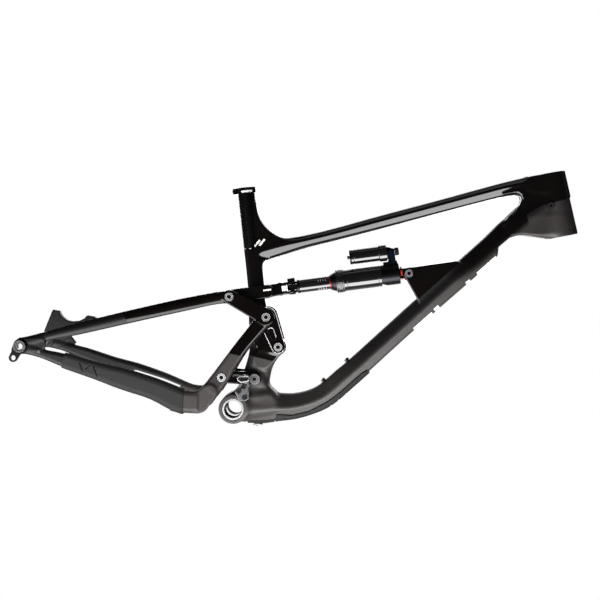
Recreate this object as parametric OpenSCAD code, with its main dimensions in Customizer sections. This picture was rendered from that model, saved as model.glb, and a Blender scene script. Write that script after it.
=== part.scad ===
// Full-suspension mountain-bike frame with its air shock.
// +X is forward, +Y is the rider's left, +Z is up; the origin is the centre of the bottom-bracket shell.
// Side-view points are [x, z] pairs in millimetres.

/* [Size] */
// horizontal distance from the bottom bracket back to the rear axle
rear_centre = 435; // [433:0.5:437]
// height of the rear axle above the bottom bracket
axle_rise = 28; // [27:0.5:29]
// angle of the steering axis from the horizontal
head_angle = 65.5; // [65:0.1:66]
// length of the head tube along the steering axis
head_len = 132.5; // [130:0.5:135]
// distance between the inner faces of the dropouts
hub_width = 148; // [148:0.1:148.5]

/* [Fits] */
// radius of the thread in the bottom-bracket sleeve
bb_bore_r = 17.4; // [17:0.1:18]
// width of the bottom-bracket shell
bb_width = 73; // [72.5:0.1:73.5]
// radius of the seat-post bore
post_r = 15.8; // [15.4:0.1:15.9]
// radius of the upper headset seat
upper_seat_r = 22; // [21.8:0.05:22.1]
// radius of the lower headset seat
lower_seat_r = 28; // [27.8:0.05:28.1]
// radius of the rear axle holes
axle_r = 6; // [5.8:0.05:6.2]
// radial running clearance of the pivots
run_gap = 0.05; // [0.02:0.01:0.08]

/* [Hidden] */
$fn = 40;

// pivots in side view
yoke_pt = [-61.5, 219.5];     // shock yoke on the seat stays
rocker_pt = [20.5, 197.5];    // upper link on the swingarm
rocker_base = [58, 143.5];    // upper link on the frame
link_pt = [-37.5, 58];        // lower link on the swingarm
link_base = [27, 69];         // lower link on the frame
shock_pt = [281, 352.5];      // front shock eye
axle_pt = [-rear_centre, axle_rise];
hanger_pt = axle_pt + [-7, -24.6];

// steering axis, from the lower face of the head tube
head_foot = [571.8, 502.6];
head_r_low = 30.5;
head_r_top = 25.5;
seat_low_h = 14;
seat_up_h = 12;

// seat tube
seat_angle = 70.1;
seat_top = [-84.9, 439.1];
seat_r = 17.6;
insert_len = 120;
clamp_h = 12;

// shock, measured from the yoke pivot along its own axis
shock_vec = shock_pt - yoke_pt;
shock_tilt = atan2(shock_vec[1], shock_vec[0]);
shock_len = norm(shock_vec);
can_r = 22;
can_start = 219;
can_end = 311;
shock_rise = 2;       // centre line of the shock above the line between its pivots
res_off = 45.8;
res_end = 328;
shaft_r = 13.5;
shaft_len = 92;
piston_r = 16.93;
res_r = 15.2;

// side layers, distances from the middle plane
yoke_in = 20.5;
yoke_out = 28.5;
plate_in = 21;
plate_out = 28.6;
arm_in = 22;
arm_out = 29.2;
stay_in = 30;
stay_out = 42;
bolt_r = 8.5;

// bearings
rocker_brg_r = 10.5;
rocker_pin_r = 6;
link_brg_r = 11;
link_pin_r = 7.5;
yoke_brg_r = 11;
yoke_bore_r = 8;
// the two loop-closing pivots float on these smaller pins
free_rocker_r = 4.4;
free_yoke_r = 5.8;

// tube stations: [x, z, depth, width] with depth square to the path in side view
seat_tube = [
    [-81.2, 428.8, 35.2, 35.2], [-45, 329.6, 35.2, 35.2], [-18.5, 256, 35.2, 36], [-8, 222, 36, 36],
    [8, 182, 46, 37], [26, 145, 58, 38], [29, 118, 55, 39], [28.5, 92, 54, 40], [28, 60, 58, 41],
];
top_tube = [
    [-45, 309, 40, 30], [16, 342.5, 33, 34], [60, 365, 26.5, 36], [112, 392.2, 25.5, 37],
    [200, 442.2, 25.5, 38], [304, 500.5, 25.5, 39], [382.7, 543.4, 27, 41], [431, 570.5, 31, 43],
    [480, 591, 40, 46],
];
down_tube = [
    [20, 6, 58, 66], [60, 16, 60, 64], [88, 24, 54, 62], [118, 33, 49, 60], [146.6, 48, 46, 58],
    [168, 64, 46, 57], [183.8, 82, 46, 56], [203, 110, 46, 55], [223.9, 139.1, 46, 54], [291, 239, 46, 53],
    [349, 323.7, 48.5, 54], [388, 380.2, 50.5, 56], [435.6, 449.6, 53, 59], [462, 486, 62, 60],
];
// stays: [x, z, depth, width, distance from the middle plane]
seat_stay = [
    [-436, 34, 24, 11, 79.5], [-392, 58.5, 20, 12, 77.5], [-334, 88, 25, 15, 73], [-239, 136.5, 27, 16, 62],
    [-153, 179.5, 29, 14, 50], [-95, 207, 28, 12, 40], [-61.5, 219.5, 28, 12, 36],
];
upright = [
    [20.5, 197.5, 34, 12, 36], [3, 162, 30, 12, 36.5], [-17.5, 118, 28, 13, 37.5], [-38, 62, 34, 14, 38],
    [-52, 28, 36, 15, 41],
];
chain_stay = [
    [-72, -1.5, 46, 17, 45.5], [-100, -6.7, 48, 18, 50], [-130, -1.5, 45, 18, 53], [-164, 5.5, 41, 17, 57],
    [-226, 11, 40, 16, 64], [-278, 15, 32, 15, 70], [-347, 21, 28, 13, 76], [-393, 24, 19, 12, 78.5],
    [-436, 26, 24, 11, 79.5],
];

// ---- helpers ----

// direction of a path at one station, in degrees above +X
function heading(p, i) = let (a = p[max(i - 1, 0)], b = p[min(i + 1, len(p) - 1)])
    atan2(b[1] - a[1], b[0] - a[0]);

// softened box outline: width across, depth up
function squircle(width, depth, power = 2.7, n = 24) = [for (i = [0:n - 1])
    let (c = cos(360 * i / n), s = sin(360 * i / n))
    [width / 2 * sign(c) * pow(abs(c), 2 / power), depth / 2 * sign(s) * pow(abs(s), 2 / power)]];

// outline of a tube at one station, standing square to the path
function station(p, i, grow = 0) = let (h = heading(p, i), y = len(p[i]) > 4 ? p[i][4] : 0)
    [for (q = squircle(p[i][3] + 2 * grow, p[i][2] + 2 * grow))
        [p[i][0] - q[1] * sin(h), y + q[0], p[i][1] + q[1] * cos(h)]];

// closed skin through a list of outlines with the same number of points
module skin(rings) {
    n = len(rings[0]);
    m = len(rings);
    polyhedron(
        points = [for (r = rings) each r],
        faces = [
            [for (k = [0:n - 1]) k],
            [for (k = [n - 1:-1:0]) (m - 1) * n + k],
            for (i = [0:m - 2], k = [0:n - 1]) let (a = i * n + k, b = i * n + (k + 1) % n)
                each [[a, b + n, b], [a, a + n, b + n]],
        ]);
}

// tube through stations first..last of a path
module loft(p, grow = 0, first = 0, last = undef)
    skin([for (i = [first:(is_undef(last) ? len(p) - 1 : last)]) station(p, i, grow)]);

// short length of a tube at one station, for hulls
module stub(p, i) skin([for (d = [-0.5, 0.5]) let (h = heading(p, i))
    [for (q = station(p, i)) q + d * [cos(h), 0, sin(h)]]]);

module both() { children(); mirror([0, 1, 0]) children(); }

// round bar along Y from y0 to y1
module bar(pt, r, y0, y1) translate([pt[0], y0, pt[1]]) rotate([-90, 0, 0]) cylinder(h = y1 - y0, r = r);

// ring along Y from y0 to y1
module ring(pt, r_out, r_in, y0, y1) difference() { bar(pt, r_out, y0, y1); bar(pt, r_in, y0 - 1, y1 + 1); }

// side-view outline made into a plate between y0 and y1
module plate(y0, y1) translate([0, y1, 0]) rotate([90, 0, 0]) linear_extrude(y1 - y0) children();

// disc in side view
module spot(pt, r) translate(pt) circle(r);

// filled corner with a concave arc between two edges leaving corner pt at angles a1 and a2
module web_2d(pt, a1, a2, r) {
    half = abs(a2 - a1) / 2;
    t = r / tan(half);
    mid = (a1 + a2) / 2;
    difference() {
        polygon([pt - 12 * [cos(mid), sin(mid)], pt + t * [cos(a1), sin(a1)], pt + t * [cos(a2), sin(a2)]]);
        translate(pt + r / sin(half) * [cos(mid), sin(mid)]) circle(r, $fn = 80);
    }
}

module on_head(h = 0) translate([head_foot[0], 0, head_foot[1]]) rotate([0, head_angle - 90, 0])
    translate([0, 0, h]) children();

module on_seat(h = 0) translate([seat_top[0], 0, seat_top[1]]) rotate([0, seat_angle - 90, 0])
    translate([0, 0, h]) children();

// local +X runs along the shock from the yoke pivot to the front eye, local +Z is its upper side
module on_shock(s = 0, up = 0) translate([yoke_pt[0], 0, yoke_pt[1]]) rotate([0, -shock_tilt, 0])
    translate([s, 0, up]) children();

// the same frame raised onto the centre line of the shock
module on_axis(s = 0, up = 0) on_shock(s, up + shock_rise) children();

module along(h, r, r2 = undef) rotate([0, 90, 0]) cylinder(h = h, r1 = r, r2 = is_undef(r2) ? r : r2);

// point on the upper edge of the down tube, from the bottle bosses' own line
boss_pts = [[164.5, 96.5], [201.5, 148.5]];
boss_tilt = 55.7;
guard_screw_x = 50;
module on_boss(i) translate([boss_pts[i][0], 0, boss_pts[i][1]]) rotate([0, -boss_tilt, 0]) children();

// ---- front body ----

module front_triangle() color([0.04, 0.04, 0.045]) resize([0, 0, 0]) difference() {
    union() {
        loft(seat_tube);
        on_seat(-14) cylinder(h = 14, r = seat_r);
        loft(top_tube);
        loft(down_tube);
        bar([0, 0], 30, -bb_width / 2, bb_width / 2);
        head_shell();
        pivot_bosses();
        plate(-13, 13) {
            web_2d([-26, 327], 28.5, 109.9, 87);
            web_2d([-18, 305], -70, 28.5, 16);
        }
        plate(-22, 22) polygon([[430, 556], [440, 560.5], [455, 564], [464, 561.5], [469, 554], [467, 541],
            [453, 516], [430, 484], [500, 500], [530, 600], [480, 590]]);
        gusset();
    }
    shell_bores();
}

module head_shell() {
    on_head() cylinder(h = head_len, r1 = head_r_low, r2 = head_r_top);
    hull() { stub(down_tube, 13); on_head(2) cylinder(h = 62, r1 = 28, r2 = 27); }
    hull() { stub(top_tube, 8); on_head(72) cylinder(h = 56, r1 = 26, r2 = 24); }
    hull() { on_head(20) cylinder(h = 90, r = 23); translate([488, 0, 535]) rotate([90, 0, 0])
        cylinder(h = 44, r = 18, center = true); }
}

module pivot_bosses() {
    // upper-link axle boss and the shelf that carries it
    hull() { bar(rocker_base, 14, -19.5, 19.5); bar([28, 150], 22, -19, 19); }
    hull() { bar(rocker_base, 14, -19.5, 19.5); bar([34, 112], 20, -19, 19); }
    // lower-link axle boss running down into the shell
    hull() { bar(link_base, 15, -20.5, 20.5); bar([14, 30], 20, -22, 22); }
    hull() { bar([62, 34], 18, -24, 24); bar([8, 8], 22, -30, 30); }
    hull() { bar([52, 60], 10, -18, 18); bar([66, 42], 12, -20, 20); bar([36, 60], 14, -20, 20); }
}

module gusset() plate(-19.5, 19.5) hull() {
    spot(shock_pt, 12.5);
    translate([370, 386]) circle(14);
    translate([322, 300]) circle(8);
}

module shell_bores() {
    bar([0, 0], 21.6, -40, 40);
    on_head(-1) cylinder(h = head_len + 2, r = 20);
    on_head(-1) cylinder(h = seat_low_h + 1, r = 29.6, $fn = 64);
    on_head(head_len - seat_up_h) cylinder(h = seat_up_h + 1, r = 24.6, $fn = 64);
    on_head(head_len) cylinder(h = 20, r = 34);
    translate([guard_screw_x, 0, -40]) cylinder(h = 27, r = 2.6);
    on_seat(-insert_len) cylinder(h = insert_len + 5, r = 16.9);
    on_seat(-insert_len - 60) cylinder(h = 62, r = 15.5);
    bar(rocker_base, rocker_pin_r + 0.06, -30, 30);
    bar(link_base, link_pin_r + 0.06, -30, 30);
    bar(shock_pt, 5.05, -30, 30);
    plate(-12.6, 12.6) hull() { spot(shock_pt, 13.2); spot(shock_pt + [-30, -12], 14); }
    for (i = [0, 1]) on_boss(i) translate([0, 0, -14]) cylinder(h = 20, r = 4.1);
    // cable ports low on the neck
    both() translate([528, 20, 555]) rotate([-90, 0, 0]) cylinder(h = 20, r = 5.1);
}

module bb_sleeve() color([0.72, 0.73, 0.75]) ring([0, 0], 21.5, bb_bore_r, -bb_width / 2 - 1, bb_width / 2 + 1);

module headset_seat_upper() color([0.15, 0.15, 0.16]) on_head(head_len - seat_up_h) difference() {
    cylinder(h = seat_up_h, r = 24.5);
    translate([0, 0, -1]) cylinder(h = seat_up_h + 2, r = upper_seat_r);
}

module headset_seat_lower() color([0.15, 0.15, 0.16]) on_head(0) difference() {
    cylinder(h = seat_low_h, r = 29.5);
    translate([0, 0, -1]) cylinder(h = seat_low_h + 2, r = lower_seat_r);
}

module seat_post_insert() color([0.12, 0.12, 0.13]) on_seat(-insert_len) difference() {
    cylinder(h = insert_len + 1.5, r = 16.8);
    translate([0, 0, -1]) cylinder(h = insert_len + 4, r = post_r);
}

module seat_clamp() color([0.05, 0.05, 0.055]) on_seat(-clamp_h + 4) difference() {
    union() {
        cylinder(h = clamp_h, r = 20.2);
        translate([-26.5, -8, 0]) cube([12, 16, clamp_h]);
    }
    translate([0, 0, -1]) cylinder(h = clamp_h + 2, r = seat_r + 0.15);
    translate([-30, -1, -1]) cube([16, 2, clamp_h + 2]);
    translate([-23, -10, clamp_h / 2]) rotate([-90, 0, 0]) cylinder(h = 20, r = 2.6);
}

module seat_clamp_bolt() color([0.6, 0.6, 0.62]) on_seat(-clamp_h + 4) translate([-23, 0, clamp_h / 2])
    rotate([90, 0, 0]) difference() {
        union() { cylinder(h = 20, r = 2.5, center = true); translate([0, 0, 8.1]) cylinder(h = 4, r = 4); }
        translate([0, 0, 9.6]) cylinder(h = 4, r = 2, $fn = 6);
    }

// moulded guard under the bend of the down tube
module downtube_guard() color([0.06, 0.06, 0.06]) resize([0, 0, 0]) difference() {
    union() {
        intersection() {
            loft(down_tube, 3.2, 2, 8);
            plate(-24, 24) polygon([[88, -30], [88, 8], [118, 14], [150, 30], [182, 58], [204, 84], [236, 131],
                [252, 139], [280, 100], [200, 10], [130, -30]]);
        }
        plate(-20, 20) polygon([[236, 112], [252, 137], [246, 141], [228, 121]]);
    }
    loft(down_tube, 0.05, 1, 9);
}

module bb_cover() color([0.08, 0.08, 0.085]) resize([0, 0, 0]) difference() {
    union() {
        intersection() {
            loft(down_tube, 4, 0, 3);
            plate(-18, 18) polygon([[34, -40], [34, 0], [86.5, 0], [86.5, -40]]);
        }
        plate(-12, 12) polygon([[42, -22], [64, -20.5], [64, -12], [42, -10]]);
    }
    loft(down_tube, 0.05, 0, 3);
    bar([0, 0], 30.1, -40, 40);
    translate([guard_screw_x, 0, -30]) cylinder(h = 20, r = 2.6);
}

module guard_screws() color([0.55, 0.55, 0.57]) {
    translate([guard_screw_x, 0, -24]) cylinder(h = 10, r = 2.5);
    translate([guard_screw_x, 0, -27.2]) cylinder(h = 3.2, r = 4.5);
}

module bottle_bosses() color([0.5, 0.5, 0.52]) for (i = [0, 1]) on_boss(i) difference() {
    union() {
        translate([0, 0, -13.5]) cylinder(h = 14.5, r = 4);
        translate([0, 0, 0.4]) cylinder(h = 1.2, r = 6.5);
    }
    translate([0, 0, -14]) cylinder(h = 20, r = 2.55);
}

module bottle_bolts() color([0.08, 0.08, 0.08]) for (i = [0, 1]) on_boss(i) difference() {
    union() { translate([0, 0, -12]) cylinder(h = 14, r = 2.5); translate([0, 0, 1.65]) cylinder(h = 3.2, r = 4.5); }
    translate([0, 0, 3]) cylinder(h = 3, r = 2, $fn = 6);
}

module cable_grommets() color([0.05, 0.05, 0.05]) both() translate([528, 22, 555]) rotate([-90, 0, 0])
    difference() {
        union() {
            cylinder(h = 7.5, r = 5);
            translate([0, 0, 6]) cylinder(h = 2, r = 6.6);
        }
        translate([0, 0, -1]) cylinder(h = 10, r = 2.5);
    }

// ---- chain guide on the drive side ----

module guide_plate() color([0.62, 0.62, 0.63]) difference() {
    plate(-41.5, -38) union() {
        hull() { spot([9, 56], 5); spot([2, 44], 4.5); spot([18, 56], 4); }
        hull() { spot([2, 41], 6.5); spot([19, 31], 7); spot([18, 50], 5); }
        hull() { spot([2, 41], 6.5); spot([8, 26], 5); spot([20, 29], 6); }
        hull() { spot([9, 56], 5); spot([7, 66], 7); }
    }
    plate(-45, -35) hull() { spot([10, 47], 3.2); spot([14, 43], 3.2); }
    for (p = [[3, 40], [17.5, 30]]) bar(p, 2.6, -45, -30);
}

module guide_cage() color([0.66, 0.66, 0.67]) difference() {
    plate(-55, -41.8) hull() { spot([-3, 67], 4); spot([14, 73], 4.5); spot([16, 66], 4); spot([3, 61], 3); }
    plate(-52.5, -44) hull() { spot([-3, 67.3], 2); spot([14, 71.5], 2.4); spot([26, 73], 2.4); spot([-12, 64], 2);
        spot([14, 67.5], 2); }
}

module guide_bolts() color([0.75, 0.75, 0.77]) for (p = [[3, 40], [17.5, 30]]) difference() {
    union() { bar(p, 2.5, -41.6, -36.6); bar(p, 4.6, -44.2, -41.6); }
    translate([p[0], -46, p[1]]) rotate([-90, 0, 0]) cylinder(h = 3.4, r = 2, $fn = 6);
}

// pivot bolt head along +Y with a hexagon socket
module cap_bolt(pt, y, r = bolt_r, h = 3.4) difference() {
    bar(pt, r, y, y + h);
    translate([pt[0], y + h - 2.4, pt[1]]) rotate([-90, 0, 0]) cylinder(h = 4, r = 4, $fn = 6);
}

module rocker_axle() color([0.6, 0.6, 0.62]) bar(rocker_base, rocker_pin_r, -plate_out, plate_out);
module rocker_axle_bolts() color([0.78, 0.78, 0.8]) both() cap_bolt(rocker_base, plate_out + 0.4);
module link_axle() color([0.6, 0.6, 0.62]) bar(link_base, link_pin_r, -arm_out, arm_out);
module link_axle_bolts() color([0.3, 0.3, 0.32]) both() cap_bolt(link_base, arm_out + 0.4, 10.5, 3);

module shock_bolt() color([0.75, 0.75, 0.77]) {
    difference() {
        union() { bar(shock_pt, 5, -19.4, 19.4); bar(shock_pt, 8, -22.4, -19.55); }
        translate([shock_pt[0], -24, shock_pt[1]]) rotate([-90, 0, 0]) cylinder(h = 3.4, r = 3.4, $fn = 6);
    }
    bar(shock_pt, 7, 19.55, 22);
}

// ---- links ----

module lower_link() color([0.05, 0.05, 0.055]) difference() {
    union() {
        both() plate(arm_in, arm_out) hull() { spot(link_pt, 13); spot(link_base, 13.5); }
        plate(-arm_in - 0.01, arm_in + 0.01) hull() { spot(link_pt, 12.6); spot([-25, 62.5], 11); }
    }
    bar(link_pt, link_pin_r + 0.6, -arm_out - 1, arm_out + 1);
    both() bar(link_base, link_brg_r, arm_in - 1, arm_out + 1);
    both() bar(link_pt, link_brg_r, arm_in + 1, arm_out + 1);
}

module link_bearings_front() color([0.7, 0.7, 0.72]) both()
    ring(link_base, link_brg_r, link_pin_r + run_gap, arm_in, arm_out - 0.2);
module link_bearings_rear() color([0.7, 0.7, 0.72]) both()
    ring(link_pt, link_brg_r, link_pin_r + run_gap, arm_in + 1, arm_out - 0.2);

module rocker_plate() difference() {
    plate(plate_in, plate_out) hull() { spot(rocker_pt, 19.5); spot(rocker_base, 14); }
    bar(rocker_pt, rocker_brg_r, plate_in - 1, plate_out + 1);
    bar(rocker_base, rocker_brg_r, plate_in - 1, plate_out + 1);
    plate(plate_in + 5, plate_out + 1) hull() { spot([36, 171], 6); spot([43, 162], 5); }
}

module rocker_left() color([0.05, 0.05, 0.055]) rocker_plate();
module rocker_right() color([0.05, 0.05, 0.055]) mirror([0, 1, 0]) rocker_plate();
module rocker_bearings_front() color([0.7, 0.7, 0.72]) both()
    ring(rocker_base, rocker_brg_r, rocker_pin_r + run_gap, plate_in, plate_out - 0.2);
module rocker_bearings_rear() color([0.7, 0.7, 0.72]) both()
    ring(rocker_pt, rocker_brg_r, rocker_pin_r, plate_in, plate_out - 0.2);

// ---- swingarm ----

module rear_triangle() color([0.05, 0.05, 0.055]) resize([0, 0, 0]) difference() {
    union() {
        both() {
            loft(seat_stay);
            loft(chain_stay);
            loft(upright);
            hull() { bar(yoke_pt, 14, stay_in, stay_out); bar(rocker_pt, 17, stay_in, stay_out); }
            bar(link_pt, 17, stay_in, stay_out + 2);
            hull() { bar([-53.3, 24.7], 16.6, 34.3, 48.9); bar([-71.2, -2.3], 21.7, 37.4, 53.1); }
        }
        bar([-50, 17], 8.5, -44, 44);
        bar([-95, 207.5], 8, -40, 40);
        bar(axle_pt, 15, hub_width / 2, hub_width / 2 + 12);
        bar(axle_pt, 15, -hub_width / 2 - 6.6, -hub_width / 2);
        brake_bracket();
        // closed corner of the left dropout
        plate(75.5, 83) polygon([[-432, 34], [-389, 56], [-370, 40], [-384, 20], [-430, 18]]);
    }
    mirror([0, 1, 0]) bar(axle_pt, 16, hub_width / 2 + 6.6, hub_width / 2 + 20);
    both() bar(axle_pt, 9.1, hub_width / 2 - 10, hub_width / 2 + 20);
    both() bar(axle_pt, 20, hub_width / 2 - 20, hub_width / 2);
    both() for (p = [yoke_pt, rocker_pt]) bar(p, free_yoke_r + 0.3, stay_in - 5, stay_out + 5);
    both() bar(link_pt, link_pin_r + 0.06, stay_in - 5, stay_out + 5);
    both() for (p = [yoke_pt, rocker_pt]) bar(p, bolt_r + 0.2, stay_out - 1, stay_out + 9);
    both() bar(link_pt, bolt_r + 0.2, stay_out + 1, stay_out + 9);
    for (p = post_pts) on_post(p) translate([0, 0, -20]) cylinder(h = 24, r = 4.6);
}

// post-mount faces of the rear brake, on the left seat stay
post_tilt = 4.4;
post_mid = [-386, 100.5];
post_gap = 74.2;
post_y = 68;
post_pts = [for (d = [-1, 1]) post_mid + d * post_gap / 2 * [cos(post_tilt), sin(post_tilt)]];
module on_post(p) translate([p[0], post_y, p[1]]) rotate([0, -post_tilt, 0]) children();

module brake_bracket() {
    plate(60.3, 75.9) polygon([[-437.4, 47.3], [-428, 97.2], [-416.6, 98.1], [-413.4, 93.6], [-405.3, 87],
        [-396, 82.8], [-384.3, 82.6], [-369.6, 87.6], [-359.7, 95.8], [-354.5, 102.9], [-342.8, 103.8],
        [-327, 97], [-345, 80], [-400, 50]]);
    for (p = post_pts) on_post(p) translate([0, 0, -24]) cylinder(h = 24, r = 6.4);
}

module derailleur_hanger() color([0.3, 0.3, 0.31]) mirror([0, 1, 0]) difference() {
    plate(hub_width / 2 + 7, hub_width / 2 + 12.6) union() {
        hull() { spot(axle_pt, 13); spot(axle_pt + [-3, -8], 11); }
        hull() { spot(axle_pt + [-2, -6], 9); spot(hanger_pt, 8.5); }
    }
    bar(axle_pt, 9.1, hub_width / 2, hub_width / 2 + 20);
    bar(hanger_pt, 5, hub_width / 2, hub_width / 2 + 20);
}

module hanger_ring() color([0.7, 0.7, 0.72]) mirror([0, 1, 0])
    ring(axle_pt, 12, 9.1, hub_width / 2 + 12.8, hub_width / 2 + 14.4);

module axle_insert() ring(axle_pt, 9, axle_r, hub_width / 2 + 0.1, hub_width / 2 + 12.6);
module axle_insert_left() color([0.5, 0.5, 0.52]) axle_insert();
module axle_insert_right() color([0.75, 0.75, 0.77]) mirror([0, 1, 0]) axle_insert();

module brake_inserts() color([0.6, 0.6, 0.62]) for (p = post_pts) on_post(p) translate([0, 0, -18])
    difference() { cylinder(h = 18.4, r = 4.5); translate([0, 0, 2]) cylinder(h = 20, r = 2.6); }

module chainstay_guard() color([0.06, 0.06, 0.06]) resize([0, 0, 0]) mirror([0, 1, 0]) difference() {
    intersection() {
        loft(chain_stay, 2.4, 0, 6);
        plate(30, 110) polygon([[-345, -30], [-345, 60], [-112, 60], [-93, -34]]);
    }
    loft(chain_stay, 0.05, 0, 7);
    loft(upright, 0.3, 2, 4);
}

module port_screw() color([0.5, 0.5, 0.52]) mirror([0, 1, 0]) bar([-396, 27], 3, 84.7, 86.4);

module stay_axle() color([0.6, 0.6, 0.62]) bar(link_pt, link_pin_r, -stay_out - 0.8, stay_out + 0.8);
module stay_axle_bolts() color([0.78, 0.78, 0.8]) both() cap_bolt(link_pt, stay_out + 1.1);
module rocker_pins() color([0.78, 0.78, 0.8]) both() {
    bar(rocker_pt, free_rocker_r, plate_in + 0.5, stay_out - 0.9);
    cap_bolt(rocker_pt, stay_out - 0.95);
}
module yoke_pins() color([0.78, 0.78, 0.8]) both() {
    bar(yoke_pt, free_yoke_r, yoke_in + 1, stay_out - 0.9);
    cap_bolt(yoke_pt, stay_out - 0.95);
}

// ---- shock shaft body ----

module shock_yoke() color([0.05, 0.05, 0.055]) difference() {
    union() {
        both() on_shock() hull() {
            translate([0, yoke_in, 0]) rotate([-90, 0, 0]) cylinder(h = yoke_out - yoke_in, r = 14);
            translate([76, yoke_in, -12.6]) cube([1, yoke_out - yoke_in, 26]);
        }
        both() on_shock() hull() {
            translate([76, yoke_in, -12.6]) cube([1, yoke_out - yoke_in, 26]);
            translate([102, 4, shock_rise - 12.3]) cube([4, 13, 24.6]);
        }
        on_axis() translate([102, -17, -12.3]) cube([16, 34, 24.6]);
        on_axis() hull() {
            translate([116, -15, -11.8]) cube([2, 30, 23.6]);
            translate([126, 0, -11.8]) cylinder(h = 23.6, r = 11);
        }
    }
    both() bar(yoke_pt, yoke_brg_r, yoke_in - 1, yoke_out + 1);
    on_axis() translate([106, -30, -6]) cube([9, 60, 12]);
    on_axis() translate([115.5, -20, -6.2]) cube([30, 40, 12.4]);
    on_axis() translate([126, 0, -20]) cylinder(h = 40, r = 4.1);
}

module yoke_bearings() color([0.7, 0.7, 0.72]) both() ring(yoke_pt, yoke_brg_r, yoke_bore_r, yoke_in, yoke_out - 0.2);

module yoke_bolt() color([0.12, 0.12, 0.13]) on_axis(126) difference() {
    union() {
        translate([0, 0, -13]) cylinder(h = 26, r = 4);
        translate([0, 0, 11.9]) cylinder(h = 7.1, r = 8);
        translate([0, 0, -14.4]) cylinder(h = 2.5, r = 6.5);
    }
    translate([0, 0, 15]) cylinder(h = 6, r = 3, $fn = 6);
}

module shaft_end() color([0.1, 0.1, 0.105]) on_axis() difference() {
    union() {
        hull() {
            translate([126, 0, -6]) cylinder(h = 12, r = 9.8);
            translate([136, -9.8, -6]) cube([1, 19.6, 12]);
        }
        translate([137.4, 0, 0]) along(4.5, shaft_r + 0.4);
    }
    translate([126, 0, -8]) cylinder(h = 16, r = 4.1);
}

module shock_shaft() color([0.03, 0.03, 0.03]) on_axis(142) difference() {
    along(shaft_len, shaft_r);
    translate([-1, 0, 0]) along(shaft_len + 2, 3);
}

// piston on the end of the shaft, running in the bore of the air can
module air_piston() color([0.6, 0.6, 0.62]) on_axis(142 + shaft_len - 12) {
    along(12.1, 2.95);
    translate([12, 0, 0]) along(7, piston_r);
}

module travel_ring() color([0.7, 0.08, 0.06]) on_axis(204.4) difference() {
    along(2.4, 15.2);
    translate([-1, 0, 0]) along(5, shaft_r + 0.05);
}

// ---- shock body ----

module air_can() color([0.03, 0.03, 0.03]) on_axis(can_start) difference() {
    along(can_end - can_start, can_r);
    translate([-1, 0, 0]) along(can_end - can_start - 8, 17);
}

module can_collar() color([0.04, 0.04, 0.04]) on_axis(218) difference() {
    along(16, 23.6);
    translate([-1, 0, 0]) along(19, can_r + 0.02);
}

module seal_head() color([0.05, 0.05, 0.05]) on_axis(207.2) difference() {
    union() {
        along(9.2, 16.4, 19.5);
        translate([9.2, 0, 0]) along(2.5, 19.5);
        translate([11.6, 0, 0]) along(6, 16.9);
    }
    translate([-1, 0, 0]) along(30, shaft_r + 0.08);
}

// head casting: barrel, top block, post up to the reservoir, and the tongue that carries the eye
module shock_head() color([0.06, 0.06, 0.065]) difference() {
    union() {
        on_axis(can_end + 0.1) along(38, 21.5);
        on_axis() translate([318, -10, 10]) cube([29, 20, 17]);
        on_axis() translate([329.5, -9, 25]) cube([15, 18, res_off - 14]);
        on_axis(res_end - 1) translate([0, 0, res_off]) along(2.8, 13);
        hull() {
            on_axis() translate([344, -11.8, -10]) cube([2, 23.6, 20]);
            on_shock(shock_len) rotate([90, 0, 0]) cylinder(h = 23.6, r = 10.8, center = true);
        }
    }
    on_axis(can_end - 1) along(20, 12);
    bar(shock_pt, 7.5, -20, 20);
    on_axis(351) difference() { along(5, 30); translate([-1, 0, 0]) along(7, 9.3); }
    on_axis(res_end - 10, res_off) along(10.02, res_r + 3);
}

module eye_bushing() color([0.6, 0.55, 0.3]) ring(shock_pt, 7.5, 5 + run_gap, -11.8, 11.8);

module reservoir() color([0.06, 0.06, 0.06]) on_axis(255, res_off) difference() {
    union() {
        along(res_end - 255, res_r);
        translate([57, 0, 0]) along(res_end - 312.1, res_r + 1.8);
    }
    translate([-1, 0, 0]) along(56, 12.6);
}

module reservoir_cap() color([0.1, 0.1, 0.1]) on_axis(251.5, res_off) difference() {
    union() {
        along(3.4, res_r - 0.6);
        translate([3, 0, 0]) along(12, 12.5);
    }
    translate([-1, 0, 0]) along(12, 3.6);
}

module fill_valve() color([0.12, 0.12, 0.12]) on_axis(246.5, res_off) along(14, 3.5);

module rebound_dial() color([0.7, 0.08, 0.06]) on_axis(351.4) difference() {
    along(3.2, 13.2);
    translate([-1, 0, 0]) along(7, 9.35);
}

module compression_dial() color([0.07, 0.07, 0.07]) on_axis(345.2, res_off) along(8.3, 8);

// lever on the drive side of the post, turning about a pivot along Y
module compression_lever() color([0.05, 0.2, 0.5]) on_axis() rotate([90, 0, 0]) {
    translate([337, res_off - 2, 9.3]) cylinder(h = 4.2, r = 6.6);
    translate([0, 0, 10.6]) hull() {
        translate([337, res_off - 2, 0]) cylinder(h = 2.6, r = 5);
        translate([340.5, 26, 0]) cylinder(h = 2.6, r = 3);
    }
}

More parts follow.
